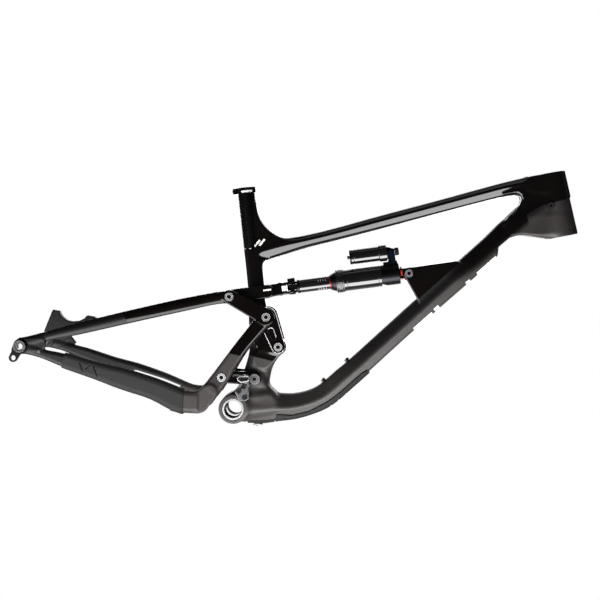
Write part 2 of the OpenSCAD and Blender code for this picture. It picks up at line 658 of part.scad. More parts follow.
front_triangle();
bb_sleeve();
headset_seat_upper();
headset_seat_lower();
seat_post_insert();
seat_clamp();
seat_clamp_bolt();
downtube_guard();
bb_cover();
guard_screws();
bottle_bosses();
bottle_bolts();
cable_grommets();
guide_plate();
guide_cage();
guide_bolts();
rocker_axle();
rocker_axle_bolts();
link_axle();
link_axle_bolts();
shock_bolt();
lower_link();
link_bearings_front();
link_bearings_rear();
rocker_right();
rocker_left();
rocker_bearings_front();
rocker_bearings_rear();
rear_triangle();
derailleur_hanger();
hanger_ring();
axle_insert_right();
axle_insert_left();
brake_inserts();
chainstay_guard();
port_screw();
stay_axle();
stay_axle_bolts();
rocker_pins();
yoke_pins();
shock_yoke();
yoke_bearings();
yoke_bolt();
shaft_end();
shock_shaft();
air_piston();
travel_ring();
air_can();
can_collar();
seal_head();
shock_head();
eye_bushing();
reservoir();
reservoir_cap();
fill_valve();
rebound_dial();
compression_lever();
compression_dial();
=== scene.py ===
"""Full-suspension bicycle frame: carbon shells, alloy hardware and an air shock round the CAD frame."""
import bpy
import math
import numpy as np
from mathutils import Matrix, Vector


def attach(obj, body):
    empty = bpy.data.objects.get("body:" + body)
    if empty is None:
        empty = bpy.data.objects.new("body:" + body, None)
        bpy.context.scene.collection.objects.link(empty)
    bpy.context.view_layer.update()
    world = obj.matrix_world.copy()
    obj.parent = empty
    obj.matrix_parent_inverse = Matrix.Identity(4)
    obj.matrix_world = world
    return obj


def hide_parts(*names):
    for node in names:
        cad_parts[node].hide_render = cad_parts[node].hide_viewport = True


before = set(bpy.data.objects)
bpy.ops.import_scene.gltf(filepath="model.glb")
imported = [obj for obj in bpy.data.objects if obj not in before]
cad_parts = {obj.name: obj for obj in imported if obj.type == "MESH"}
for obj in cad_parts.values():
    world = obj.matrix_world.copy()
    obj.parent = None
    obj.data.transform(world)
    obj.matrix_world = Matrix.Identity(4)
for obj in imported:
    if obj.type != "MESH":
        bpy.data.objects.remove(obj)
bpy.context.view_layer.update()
MM = 0.001

# ------------------------------------------------------------------ layout, millimetres, [x, z] in side view
YOKE_PT = np.array([-61.5, 219.5])
ROCKER_PT = np.array([20.5, 197.5])
ROCKER_BASE = np.array([58.0, 143.5])
LINK_PT = np.array([-37.5, 58.0])
LINK_BASE = np.array([27.0, 69.0])
SHOCK_PT = np.array([281.0, 352.5])
AXLE_PT = np.array([-435.0, 28.0])
HEAD_FOOT = np.array([571.8, 502.6])
HEAD_ANGLE = math.radians(65.5)
HEAD_LEN = 132.5
SEAT_TOP = np.array([-84.9, 439.1])
SEAT_ANGLE = math.radians(70.1)
SHOCK_LEN = float(np.linalg.norm(SHOCK_PT - YOKE_PT))
SHOCK_DIR = (SHOCK_PT - YOKE_PT) / SHOCK_LEN
SHOCK_UP = np.array([-SHOCK_DIR[1], SHOCK_DIR[0]])
HEAD_UP = np.array([-math.cos(HEAD_ANGLE), math.sin(HEAD_ANGLE)])
SEAT_UP = np.array([-math.cos(SEAT_ANGLE), math.sin(SEAT_ANGLE)])
SHOCK_RISE = 2.0    # centre line of the shock above the line between its pivots
RES_OFF = 45.8      # reservoir axis above that centre line
POST_TILT = math.radians(4.4)
POST_MID = np.array([-386.0, 100.5])
POST_UP = np.array([-math.sin(POST_TILT), math.cos(POST_TILT)])
POSTS = [POST_MID + d * 37.1 * np.array([math.cos(POST_TILT), math.sin(POST_TILT)]) for d in (-1, 1)]
POST_Y = 68.0
BRAKE_MOUNT = [(-437.4, 47.3), (-430.2, 97.0), (-415.2, 98.3), (-412.2, 93.0), (-405.3, 87), (-396, 82.8),
               (-384.3, 82.6), (-369.6, 87.6), (-360.2, 95.3), (-356.5, 102.6), (-341.5, 103.9), (-327, 97),
               (-345, 80), (-400, 50)]
BOSSES = [np.array([164.5, 96.5]), np.array([201.5, 148.5])]
BOSS_TILT = math.radians(55.7)
BOSS_UP = np.array([-math.sin(BOSS_TILT), math.cos(BOSS_TILT)])
GUIDE_BOLTS = [(3, 40), (17.5, 30)]
CABLE_PORT = (528, 555)

# radii of bores and recesses
PIVOT_BORE = 6.2
LINK_BORE = 7.6
BOLT_RECESS = 9.4
AXLE_BORE = 9.1
BOSS_BORE = 4.15
INSERT_BORE = 16.85
SLEEVE_BORE = 21.6
LOWER_SEAT = 28.4
UPPER_SEAT = 22.6

# tube stations: x, z, depth, width and, away from the middle, the distance across
SEAT_TUBE = [
    (-84.8, 438.8, 35.2, 35.2), (-77.4, 418.6, 35.2, 35.2), (-45, 329.6, 35.2, 35.2),
    (-18.5, 256, 35.2, 36), (-8, 222, 36, 36), (8, 182, 46, 37), (26, 145, 58, 38), (29, 118, 55, 39),
    (28.5, 92, 54, 40), (28, 60, 58, 41)]
TOP_TUBE = [
    (-38, 312.5, 38, 27), (16, 342.5, 33, 33), (60, 365.3, 26.5, 36), (112, 392.2, 25.5, 37),
    (200, 440.6, 27, 38), (304, 497.8, 26.4, 39), (382.7, 541.2, 27.4, 41), (431, 567.2, 28.6, 43),
    (480, 590, 32, 45), (512, 604, 30, 44)]
DOWN_TUBE = [
    (20, 6, 58, 66), (60, 16, 60, 64), (88, 24, 54, 62), (118, 33, 49, 60), (146.6, 48, 46, 58),
    (168, 64, 46, 57), (183.8, 82, 46, 56), (203, 110, 46, 55), (223.9, 139.1, 45, 54), (291, 239, 44.5, 53),
    (349, 323.7, 46.5, 54), (388, 380.2, 47.5, 56), (435.6, 449.6, 48, 59), (462, 487, 54, 60),
    (494, 525, 54, 56), (522, 552, 50, 50)]
SEAT_STAY = [
    (-436, 34, 24, 11, 79.5), (-392, 58.5, 20, 12, 77.5), (-334, 88, 25, 15, 73), (-239, 136.5, 27, 16, 62),
    (-153, 179.5, 29, 14, 50), (-95, 207, 28, 12, 40), (-61.5, 219.5, 28, 12, 36)]
UPRIGHT = [
    (20.5, 197.5, 34, 12, 36), (3, 162, 30, 12, 36.5), (-17.5, 118, 28, 13, 37.5), (-38, 62, 34, 14, 38),
    (-52, 28, 36, 15, 41)]
CHAIN_STAY = [
    (-72, -1.5, 46, 17, 45.5), (-100, -6.7, 48, 18, 50), (-130, -1.5, 45, 18, 53), (-164, 5.5, 41, 17, 57),
    (-226, 11, 40, 16, 64), (-278, 15, 32, 15, 70), (-347, 21, 28, 13, 76), (-393, 24, 19, 12, 78.5),
    (-436, 26, 24, 11, 79.5)]


# ------------------------------------------------------------------ distance fields, millimetres
def rounded_max(parts, r):
    """Intersection of distances whose edges are rounded to radius r."""
    top = parts[0]
    for p in parts[1:]:
        top = np.maximum(top, p)
    corner = sum(np.maximum(p + r, 0.0) ** 2 for p in parts)
    return np.minimum(top, -r) + np.sqrt(corner)


def smooth_min(a, b, k):
    if k <= 0:
        return np.minimum(a, b)
    h = np.clip(0.5 + 0.5 * (b - a) / k, 0.0, 1.0)
    return b * (1 - h) + a * h - k * h * (1 - h)


def spline(points, step):
    """Catmull-Rom resampling of station rows at about the given spacing."""
    p = np.asarray(points, float)
    p = np.vstack([2 * p[0] - p[1], p, 2 * p[-1] - p[-2]])
    rows = []
    for i in range(1, len(p) - 2):
        n = max(1, int(round(np.linalg.norm(p[i + 1, :2] - p[i, :2]) / step)))
        for t in np.arange(n) / n:
            a, b, c, d = p[i - 1:i + 3]
            rows.append(0.5 * (2 * b + (c - a) * t + (2 * a - 5 * b + 4 * c - d) * t ** 2
                               + (3 * b - a - 3 * c + d) * t ** 3))
    return np.vstack(rows + [p[-2]])


class Shape:
    """A solid whose bounding ball lets the mesher skip it far away."""
    centre = np.zeros(3)
    radius = 1e9

    def near(self, c, r):
        return np.linalg.norm(c - self.centre) < self.radius + r


class Tube(Shape):
    """Sections swept along a side-view path.

    Stations are (x, z, depth, width, y offset). A profile lists flat facets as (angle above sideways in
    degrees, u, v), where (u, v) is a point of the facet in half-widths and half-depths; six numbers give
    the facet at the start and at the end.
    """

    def __init__(self, stations, profile=None, edge=5.0, power=2.4, step=14.0, side=0):
        rows = [tuple(s) + (0.0,) * (5 - len(s)) for s in stations]
        self.rows = spline(rows, step)
        xz = self.rows[:, :2]
        t = np.gradient(xz, axis=0)
        self.tan = t / np.linalg.norm(t, axis=1)[:, None]
        self.profile, self.edge, self.power, self.side = profile, edge, power, side
        self.centre = np.array([xz[:, 0].mean(), 0.0, xz[:, 1].mean()])
        self.radius = np.linalg.norm(xz - xz.mean(0), axis=1).max() + 110

    def __call__(self, p, centre=None, reach=1e9):
        y = np.abs(p[:, 1]) if self.side == 0 else p[:, 1] * self.side
        xz = p[:, [0, 2]]
        best = np.full(len(p), 1e3)
        last = len(self.rows) - 2
        for i in range(last + 1):
            a, b = self.rows[i], self.rows[i + 1]
            if centre is not None:
                mid = (a[:2] + b[:2]) / 2
                gap = math.hypot(centre[0] - mid[0], centre[2] - mid[1])
                if gap > reach + a[2] + 20:
                    continue
            ra, rb = xz - a[:2], xz - b[:2]
            d0, d1 = ra @ self.tan[i], rb @ self.tan[i + 1]
            ok = (d0 >= 0) & (d1 <= 0)
            if i == 0:
                ok |= (d0 < 0) & (d0 > -60)
            if i == last:
                ok |= (d1 > 0) & (d1 < 60)
            if not ok.any():
                continue
            d0, d1, ra = d0[ok], d1[ok], ra[ok]
            t = np.clip(d0 / np.maximum(d0 - d1, 1e-6), 0, 1)[:, None]
            row = a * (1 - t) + b * t
            tan = self.tan[i] * (1 - t) + self.tan[i + 1] * t
            tan /= np.linalg.norm(tan, axis=1)[:, None]
            off = xz[ok] - row[:, :2]
            v = off[:, 1] * tan[:, 0] - off[:, 0] * tan[:, 1]
            if tan[:, 0].mean() < -0.2:
                v = -v
            u = y[ok] - row[:, 4]
            d = self.section(np.abs(u), v, row[:, 3] / 2, row[:, 2] / 2, (i + t[:, 0]) / (last + 1))
            cap = np.maximum(-d0 if i == 0 else -1e3, d1 if i == last else -1e3)
            d = rounded_max([d, cap], 1.0) if (i == 0 or i == last) else d
            best[ok] = np.minimum(best[ok], d)
        return best

    def section(self, u, v, a, b, way):
        """Distance in the section plane; way runs from 0 at the start of the tube to 1 at its end."""
        if self.profile is None:
            q = (np.abs(u) / a) ** self.power + (np.abs(v) / b) ** self.power
            return (q ** (1 / self.power) - 1) * np.minimum(a, b)
        planes = []
        for facet in self.profile:
            deg, u0, v0 = (p + (q - p) * way for p, q in zip(facet[:3], facet[-3:]))
            c, s = np.cos(np.radians(deg)), np.sin(np.radians(deg))
            planes.append((u - u0 * a) * c + (v - v0 * b) * s)
        return rounded_max(planes, self.edge)


class Round(Shape):
    """Cone or cylinder along any axis from point a, radii r0 to r1 over its length."""

    def __init__(self, a, axis, length, r0, r1=None, edge=1.0):
        self.a, self.axis = np.asarray(a, float), np.asarray(axis, float)
        self.axis = self.axis / np.linalg.norm(self.axis)
        self.length, self.r0, self.r1, self.edge = length, r0, r0 if r1 is None else r1, edge
        self.centre = self.a + self.axis * length / 2
        self.radius = math.hypot(length / 2, max(self.r0, self.r1))

    def __call__(self, p, *_):
        q = p - self.a
        h = q @ self.axis
        rad = np.linalg.norm(q - h[:, None] * self.axis, axis=1)
        t = np.clip(h / self.length, 0, 1)
        side = rad - (self.r0 * (1 - t) + self.r1 * t)
        return rounded_max([side, -h, h - self.length], self.edge)


class Meet(Shape):
    """Common part of two shapes."""

    def __init__(self, a, b):
        self.a, self.b = a, b
        self.centre, self.radius = a.centre, a.radius

    def __call__(self, p, *_):
        return np.maximum(self.a(p), self.b(p))


class Slab(Shape):
    """Side-view polygon or strap between y0 and y1 (of |y| when both is set)."""

    def __init__(self, outline, y0, y1, edge=2.0, both=True, grow=0.0):
        self.outline, self.y0, self.y1, self.edge, self.both, self.grow = outline, y0, y1, edge, both, grow
        pts = np.array([q[:2] for q in outline], float)
        reach = max([q[2] for q in outline] if len(outline[0]) > 2 else [0])
        mid = pts.mean(0)
        self.centre = np.array([mid[0], 0 if both else (y0 + y1) / 2, mid[1]])
        self.radius = np.linalg.norm(pts - mid, axis=1).max() + reach + max(abs(y0), abs(y1)) + 4

    def flat(self, x, z):
        pts = [np.array(q[:2], float) for q in self.outline]
        if len(self.outline[0]) > 2:
            return strap_2d(x, z, pts[0], self.outline[0][2], pts[1], self.outline[1][2])
        return polygon_2d(x, z, pts)

    def __call__(self, p, *_):
        y = np.abs(p[:, 1]) if self.both else p[:, 1]
        return rounded_max([self.flat(p[:, 0], p[:, 2]) - self.grow, self.y0 - y, y - self.y1], self.edge)


def strap_2d(x, z, a, ra, b, rb):
    """Distance to the hull of two discs."""
    d = b - a
    h = max(np.linalg.norm(d), 1e-6)
    ux, uz = d / h
    px, pz = x - a[0], z - a[1]
    along, across = px * ux + pz * uz, np.abs(px * uz - pz * ux)
    s = (ra - rb) / h
    c = math.sqrt(max(1 - s * s, 1e-9))
    k = -s * across + c * along
    return np.where(k < 0, np.hypot(across, along) - ra,
                    np.where(k > c * h, np.hypot(across, along - h) - rb, across * c + along * s - ra))


def polygon_2d(x, z, pts):
    """Signed distance to a closed polygon."""
    d = np.full(x.shape, 1e9)
    sign = np.ones(x.shape)
    for i in range(len(pts)):
        a, b = pts[i], pts[i - 1]
        e = b - a
        wx, wz = x - a[0], z - a[1]
        t = np.clip((wx * e[0] + wz * e[1]) / (e @ e), 0, 1)
        d = np.minimum(d, (wx - e[0] * t) ** 2 + (wz - e[1] * t) ** 2)
        c1, c2, c3 = z >= a[1], z < b[1], e[0] * wz > e[1] * wx
        sign = np.where((c1 & c2 & c3) | (~c1 & ~c2 & ~c3), -sign, sign)
    return sign * np.sqrt(d)


def fillet(corner, deg_a, deg_b, radius, steps=14):
    """Polygon that fills the corner between two edges up to a concave arc."""
    a, b = math.radians(deg_a), math.radians(deg_b)
    mid, half = (a + b) / 2, abs(b - a) / 2
    corner = np.array(corner, float)
    centre = corner + radius / math.sin(half) * np.array([math.cos(mid), math.sin(mid)])
    reach = radius / math.tan(half)
    start, end = [math.atan2(*(corner + reach * np.array([math.cos(t), math.sin(t)]) - centre)[::-1])
                  for t in (a, b)]
    turn = (end - start + math.pi) % (2 * math.pi) - math.pi
    arc = [centre + radius * np.array([math.cos(start + turn * t), math.sin(start + turn * t)])
           for t in np.linspace(0, 1, steps)]
    return [corner - 12 * np.array([math.cos(mid), math.sin(mid)])] + arc


class Tapered(Shape):
    """Strap between two side-view points whose inner and outer faces also move across the frame."""

    def __init__(self, a, b, ha, hb, ya, yb, edge):
        self.a, self.b, self.h = np.asarray(a), np.asarray(b), (ha, hb)
        self.inner, self.outer, self.edge = (ya[0], ya[1]), (yb[0], yb[1]), edge
        self.centre = xz((self.a + self.b) / 2)
        self.radius = np.linalg.norm(self.b - self.a) / 2 + 50

    def __call__(self, p, *_):
        d = self.b - self.a
        n = np.linalg.norm(d)
        q = p[:, [0, 2]] - self.a
        along = q @ (d / n)
        side = np.abs(q[:, 1] * d[0] - q[:, 0] * d[1]) / n
        t = np.clip(along / n, 0, 1)
        y = np.abs(p[:, 1])
        slope = 1 / math.hypot(1, (self.outer[1] - self.outer[0]) / n)
        mix = lambda pair: pair[0] * (1 - t) + pair[1] * t
        return rounded_max([side - mix(self.h), -along, along - n, (mix(self.inner) - y) * slope,
                            (y - mix(self.outer)) * slope], self.edge)


class Solid:
    """Shapes joined and cut in order; each row is (op, shape, blend radius)."""

    def __init__(self, rows):
        self.rows = rows

    def __call__(self, p, centre=None, reach=1e9):
        f = np.full(len(p), 1e3)
        for op, shape, k in self.rows:
            if op != "keep" and centre is not None and not shape.near(centre, reach + k):
                continue
            d = shape(p, centre, reach) if isinstance(shape, Tube) else shape(p)
            if op == "add":
                f = smooth_min(f, d, k)
            else:
                f = -smooth_min(-f, d if op == "cut" else -d, k)
        return f


def grid_mesh(solid, lo, hi, cell):
    """Vertices (mm) and quads of the zero surface of a solid inside a box."""
    lo = np.asarray(lo, float)
    step = 16
    n = (np.ceil((np.asarray(hi) - lo) / (cell * step)).astype(int)) * step + 1
    values = np.full(n, 1e3, np.float32)
    half = cell * step / 2
    ball = half * math.sqrt(3)
    axis = np.arange(step + 1)
    local = np.stack(np.meshgrid(axis, axis, axis, indexing="ij"), -1).reshape(-1, 3)
    for i in range(0, n[0] - 1, step):
        for j in range(0, n[1] - 1, step):
            for k in range(0, n[2] - 1, step):
                corner = lo + np.array([i, j, k]) * cell
                mid = corner + half
                d = solid(mid[None], mid, ball + 6)[0]
                block = (slice(i, i + step + 1), slice(j, j + step + 1), slice(k, k + step + 1))
                if abs(d) > ball + 14:
                    if d < 0:
                        values[block] = -1e3
                    continue
                values[block] = solid(corner + local * cell, mid, ball + 6).reshape((step + 1,) * 3)
    inside = values < 0
    corners = [(a, b, c) for a in (0, 1) for b in (0, 1) for c in (0, 1)]
    shape = tuple(n - 1)
    count = np.zeros(shape, np.int8)
    for a, b, c in corners:
        count += inside[a:a + shape[0], b:b + shape[1], c:c + shape[2]]
    cells = np.argwhere((count > 0) & (count < 8))
    v = np.stack([values[cells[:, 0] + a, cells[:, 1] + b, cells[:, 2] + c] for a, b, c in corners], 1)
    total, hits = np.zeros((len(cells), 3)), np.zeros(len(cells))
    for m in range(8):
        for bit in (1, 2, 4):
            o = m ^ bit
            if o < m:
                continue
            cross = (v[:, m] < 0) != (v[:, o] < 0)
            t = np.where(cross, v[:, m] / np.where(cross, v[:, m] - v[:, o], 1), 0)[:, None]
            pm, po = np.array(corners[m], float), np.array(corners[o], float)
            total += np.where(cross[:, None], pm + (po - pm) * t, 0)
            hits += cross
    verts = lo + (cells + total / hits[:, None]) * cell
    index = np.full(shape, -1, np.int32)
    index[tuple(cells.T)] = np.arange(len(cells))
    quads = []
    for ax in range(3):
        u, w = [q for q in range(3) if q != ax]
        first = [slice(None)] * 3
        second = [slice(None)] * 3
        first[ax], second[ax] = slice(0, -1), slice(1, None)
        edge = np.argwhere(inside[tuple(first)] != inside[tuple(second)])
        keep = (edge[:, u] > 0) & (edge[:, w] > 0) & (edge[:, u] < shape[u]) & (edge[:, w] < shape[w])
        edge = edge[keep]
        flip = inside[tuple(edge.T)]
        ring = []
        for du, dw in ((0, 0), (-1, 0), (-1, -1), (0, -1)):
            e = edge.copy()
            e[:, u] += du
            e[:, w] += dw
            ring.append(index[tuple(e.T)])
        q = np.stack(ring, 1)
        if ax == 1:
            flip = ~flip
        q[flip] = q[flip][:, ::-1]
        quads.append(q)
    quads = np.vstack(quads)
    quads = quads[:, ::-1]
    verts = project(solid, verts, cell)
    verts = project(solid, verts, cell)
    return verts, quads, project(solid, verts, cell, normals=True)


def project(solid, verts, cell, normals=False):
    """One Newton step of every vertex onto the zero surface, or the surface normals there."""
    out = verts.copy()
    size = 64.0
    keys = np.floor(verts / size).astype(int)
    order = np.lexsort(keys.T)
    cuts = np.flatnonzero(np.any(np.diff(keys[order], axis=0) != 0, axis=1)) + 1
    h = 0.25
    for group in np.split(order, cuts):
        p = verts[group]
        mid = (keys[group[0]] + 0.5) * size
        reach = size * 0.87 + 6
        f0 = solid(p, mid, reach)
        g = np.stack([(solid(p + d, mid, reach) - solid(p - d, mid, reach)) / (2 * h)
                      for d in np.eye(3) * h], 1)
        if normals:
            out[group] = g / np.maximum(np.linalg.norm(g, axis=1), 1e-6)[:, None]
            continue
        move = -f0[:, None] * g / np.maximum((g ** 2).sum(1), 0.3)[:, None]
        length = np.linalg.norm(move, axis=1)[:, None]
        out[group] = p + move * np.minimum(1, 0.6 * cell / np.maximum(length, 1e-6))
    return out


# ------------------------------------------------------------------ pieces
def mesh_piece(name, verts, faces, body, slot, material, *nodes, normals=None):
    """A mesh in metres from millimetre data, riding on a body and standing for CAD nodes."""
    me = bpy.data.meshes.new(name)
    faces = np.asarray(faces)
    verts = np.asarray(verts, float) * MM
    me.vertices.add(len(verts))
    me.vertices.foreach_set("co", verts.astype(np.float32).ravel())
    size = faces.shape[1]
    me.loops.add(faces.size)
    me.loops.foreach_set("vertex_index", faces.astype(np.int32).ravel())
    me.polygons.add(len(faces))
    me.polygons.foreach_set("loop_start", np.arange(0, faces.size, size, dtype=np.int32))
    me.update(calc_edges=True)
    me.validate()
    me.shade_smooth()
    if normals is not None:
        me.normals_split_custom_set_from_vertices([tuple(n) for n in normals])
    return place(name, me, body, slot, material, *nodes)


def place(name, me, body, slot, material, *nodes):
    """Object of a mesh, with its body and the CAD nodes it stands for; slot is not used."""
    ob = bpy.data.objects.new(name, me)
    bpy.context.scene.collection.objects.link(ob)
    me.materials.append(material)
    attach(ob, body)
    if nodes:
        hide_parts(*nodes)
    return ob


def shell(name, rows, lo, hi, cell, body, slot, material, *nodes, chamfer=None):
    """Mesh of shape rows; faces neither flat nor square to the side take the chamfer material."""
    verts, quads, normals = grid_mesh(Solid(rows), lo, hi, cell * (1.0))
    ob = mesh_piece(name, verts, quads, body, slot, material, *nodes, normals=normals)
    if chamfer:
        ob.data.materials.append(chamfer)
        tilt = np.abs(normals[quads][:, :, 1].mean(1))
        slot_index = ((tilt > 0.25) & (tilt < 0.93)).astype(np.int32)
        ob.data.polygons.foreach_set("material_index", slot_index)
    return ob


def xz(p, y=0.0):
    """3-D point of a side-view point."""
    return np.array([p[0], y, p[1]])


def across(p, r, y0, y1, edge=1.0):
    """Round bar along Y."""
    return Round(xz(p, y0), (0, 1, 0), y1 - y0, r, edge=edge)


def disc(p, r):
    """Outline of a single disc, for Slab."""
    return [(*p, r), (p[0] + math.copysign(0.01, p[0]), p[1], r)]


def drill(p, r, reach=120.0):
    """Bore right through the frame."""
    return across(p, r, -reach, reach, 0.0)


def on_shock(s, up=0.0):
    """Side-view point at a distance along the shock from its yoke pivot, and above its axis."""
    return YOKE_PT + SHOCK_DIR * s + SHOCK_UP * up


# facets of the tube sections
ROOF = [(90, 0, 1), (43, 1.0, 0.24), (-24, 1.0, 0.24), (-52, 0.74, -0.58, -38, 0.885, -0.14), (-90, 0, -1)]
KEEL = [(90, 0, 1), (42, 1.0, -0.02), (-30, 1.0, -0.06), (-90, 0, -1)]
STAY = [(90, 0, 1), (30, 1.0, 0.1), (-15, 1.0, 0.0), (-52, 0.78, -0.72), (-90, 0, -1)]
BLADE = [(90, 0, 1), (48, 0.8, 0.8), (0, 1.0, 0), (-50, 0.86, -0.72), (-90, 0, -1)]

UNDER_NECK = [(460, 380), (446, 448), (463, 471.5), (476, 480), (490, 484.5), (508, 486.5), (525, 488),
              (542, 486.6), (602, 513.5), (640, 531), (620, 380)]


HEAD_GUSSET = [(431, 556), (441, 560), (456, 563.5), (464, 561), (469, 554), (467, 541), (453, 516),
               (452, 470), (486, 474), (540, 492), (575, 520), (530, 612), (500, 606)]
HEAD_FRONT = [(602, 514), (541.6, 634.6), (640, 680), (700, 520)]
HEAD_TOP = [(560, 643.3), (470, 602.3), (440, 660), (540, 690)]
BADGE = [(560, 560), (620, 560), (620, 660), (520, 660)]


def front_rows():
    """Front triangle: tubes, webs, head tube and shell, then its bores and cuts."""
    up3 = xz(HEAD_UP)
    seat3 = xz(SEAT_UP)
    foot = xz(HEAD_FOOT)
    rows = [
        ("add", Tube(SEAT_TUBE, power=2.15), 0),
        ("add", Tube(TOP_TUBE, ROOF, edge=3.6), 7),
        ("add", Slab(fillet((-26, 324), 28.5, 109.9, 85), -1, 13.5, 7), 8),
        ("add", Slab(fillet((-18, 305), -70, 28.5, 17), -1, 13, 5), 5),
        ("add", Slab([(28, 150, 22), (*ROCKER_BASE, 14)], -1, 19.4, 3), 9),
        ("add", Slab([(34, 112, 20), (*ROCKER_BASE, 14)], -1, 19.4, 3), 9),
        ("add", Slab([(14, 30, 20), (*LINK_BASE, 15)], -1, 20.6, 4), 8),
        ("add", Tube(DOWN_TUBE, KEEL, edge=5.0), 12),
        ("add", Slab([(60, 40, 16), (30, 60, 15)], -1, 22, 5), 12),
        ("add", Slab([(64, 30, 20), (6, 6, 22)], -1, 30, 9), 12),
        ("add", across((0, 0), 29.8, -36.5, 36.5, 2.5), 14),
        ("add", Round(foot + up3 * 0.3, up3, HEAD_LEN - 0.3, 30.8, 25.8, 0.9), 4),
        ("add", Slab(HEAD_GUSSET, -1, 20, 8), 11),
        ("add", Slab([(477, 500, 25), (551, 523, 24)], -1, 23.5, 9), 12),
        ("add", Slab([(486, 592, 19), (520, 601, 21)], -1, 20.5, 8), 10),
        ("add", Slab([SHOCK_PT, (372, 389), (330, 300)], -1, 17.0, 3.5, grow=11.5), 4),
        ("cut", across((0, 0), SLEEVE_BORE, -60, 60, 0), 0),
        ("cut", Slab(UNDER_NECK, -1, 80, 0), 6),
        ("cut", Slab(HEAD_FRONT, -1, 80, 0), 0.6),
        ("cut", Slab(HEAD_TOP, -1, 80, 0), 0.6),
        ("add", Meet(Round(foot + up3 * 76, up3, 56, 30.4, 28.4, 0.6), Slab(BADGE, -1, 9, 0.6)), 0.5),
        ("cut", Round(foot - up3, up3, HEAD_LEN + 2, 20, edge=0), 0),
        ("cut", Round(foot - up3, up3, 15, LOWER_SEAT, edge=0), 0),
        ("cut", Round(foot + up3 * (HEAD_LEN - 12), up3, 14, UPPER_SEAT, edge=0), 0),
        ("cut", Round(xz(SEAT_TOP) - seat3 * 122, seat3, 140, INSERT_BORE, edge=0), 0),
        ("cut", Slab([(*SHOCK_PT, 13.2), (251, 340.5, 14)], -1, 12.4, 1.5), 1.5),
        ("cut", drill(SHOCK_PT, 5.05), 0),
        ("cut", drill(ROCKER_BASE, 6.1), 0),
        ("cut", Round((50, 0, -40), (0, 0, 1), 27, 2.6, edge=0), 0),
        ("cut", drill(LINK_BASE, LINK_BORE), 0),
        ("cut", Slab(disc(CABLE_PORT, 5.15), 19.5, 40, 0.3), 0.6),
    ]
    up3 = xz(BOSS_UP)
    return rows + [("cut", Round(xz(b) - up3 * 14, up3, 24, BOSS_BORE, edge=0), 0) for b in BOSSES]


AXLE_WEB = [(-432, 34), (-389, 56), (-368, 39), (-384, 20), (-430, 18)]
STAY_RELIEF = [(-232, 14), (-224, 15.5), (-163, 12.8), (-126, 8.2), (-126, -30), (-232, -30)]


def rear_rows():
    """Rear triangle: stays, uprights, dropouts and brake mount, then its bores and cuts."""
    post3 = xz(POST_UP)
    rows = [
        ("add", Tube(SEAT_STAY, STAY, edge=3.2), 0),
        ("add", Tube(UPRIGHT, BLADE, edge=2.6), 3),
        ("add", Slab([(*YOKE_PT, 14), (*ROCKER_PT, 17)], 30, 42, 2.6), 4),
        ("add", Tube(CHAIN_STAY, BLADE, edge=3.6), 5),
        ("add", Slab([(-54, 24, 16), (-70, -2, 21)], 35.5, 51.5, 4), 6),
        ("add", across(LINK_PT, 17, 30, 44, 2.0), 4),
        ("add", across((-50, 17), 8.5, -44, 44, 1), 6),
        ("add", across((-95, 207.5), 8, -40, 40, 1), 6),
        ("add", Slab([(-434, 30, 13), (-398, 42, 12)], 75, 83.5, 2.5), 6),
        ("cut", Slab(disc(AXLE_PT, 20), 20, 74, 0.5), 0.5),
    ]
    left = [
        ("add", across(AXLE_PT, 15, 74, 86, 1.2), 4),
        ("add", Slab(AXLE_WEB, 76, 82.5, 2, both=False), 5),
        ("add", Slab(BRAKE_MOUNT, 60.5, 75.5, 2, both=False), 3),
        ("cut", Slab(STAY_RELIEF, 40, 100, 0, both=False), 3),
    ]
    left += [("cut", Round(xz(p, POST_Y), post3, 20, 12, edge=0), 0.6) for p in POSTS]
    left += [("cut", Round(xz(p, POST_Y) - post3 * 20, post3, 24, 4.55, edge=0), 0) for p in POSTS]
    right = [
        ("add", across(AXLE_PT, 15, -80.5, -74, 1.0), 4),
        ("cut", Slab(disc(AXLE_PT, 16), -100, -80.6, 0, both=False), 0.5),
    ]
    holes = []
    for s in (-1, 1):
        def hole(p, r, mid, half, blend=0):
            return "cut", across(p, r, s * mid - half, s * mid + half, 0), blend
        for p in (YOKE_PT, ROCKER_PT):
            holes += [hole(p, PIVOT_BORE, 36, 12), hole(p, BOLT_RECESS, 46.2, 5.2, 0.8)]
        holes += [hole(LINK_PT, LINK_BORE, 38, 14), hole(LINK_PT, BOLT_RECESS, 48.2, 5.2, 0.8),
                  hole(AXLE_PT, AXLE_BORE, 80, 12)]
    return rows + left + right + holes


def link_rows():
    """Both plates of the upper link, with a long pocket."""
    rows = [("add", Slab([(*ROCKER_PT, 19.5), (*ROCKER_BASE, 14)], 21, 28.6, 1.8), 0),
            ("cut", Slab([(36, 171, 7.0), (44, 160, 5.5)], 26.9, 40, 0.4), 0.5)]
    return rows + [("cut", across(p, 10.5, 15, 35, 0), 0.3) for p in (ROCKER_PT, ROCKER_BASE)]


def lower_link_rows():
    """Forked lower link with its bridge."""
    return [
        ("add", Slab([(*LINK_PT, 13), (*LINK_BASE, 13.5)], 22, 29.2, 2.2), 0),
        ("add", Slab([(*LINK_PT, 12.6), (-25, 62.5, 11)], -1, 23, 1.5), 3),
        ("cut", Slab([(-12, 62, 5), (4, 65, 5)], 27, 40, 1.5), 1.5),
        ("cut", across(LINK_PT, 8.1, -35, 35, 0), 0),
        ("cut", Slab(disc(LINK_PT, 11), 23, 40, 0), 0.3),
        ("cut", Slab(disc(LINK_BASE, 11), 15, 40, 0), 0.3)]


def shock_slab(s0, s1, u0, u1, y1, edge, both=True, y0=-1.0):
    """Box along the shock axis; u is measured from the raised centre line."""
    corners = [(s0, u0), (s1, u0), (s1, u1), (s0, u1)]
    return Slab([on_shock(s, u + SHOCK_RISE) for s, u in corners], y0, y1, edge, both)


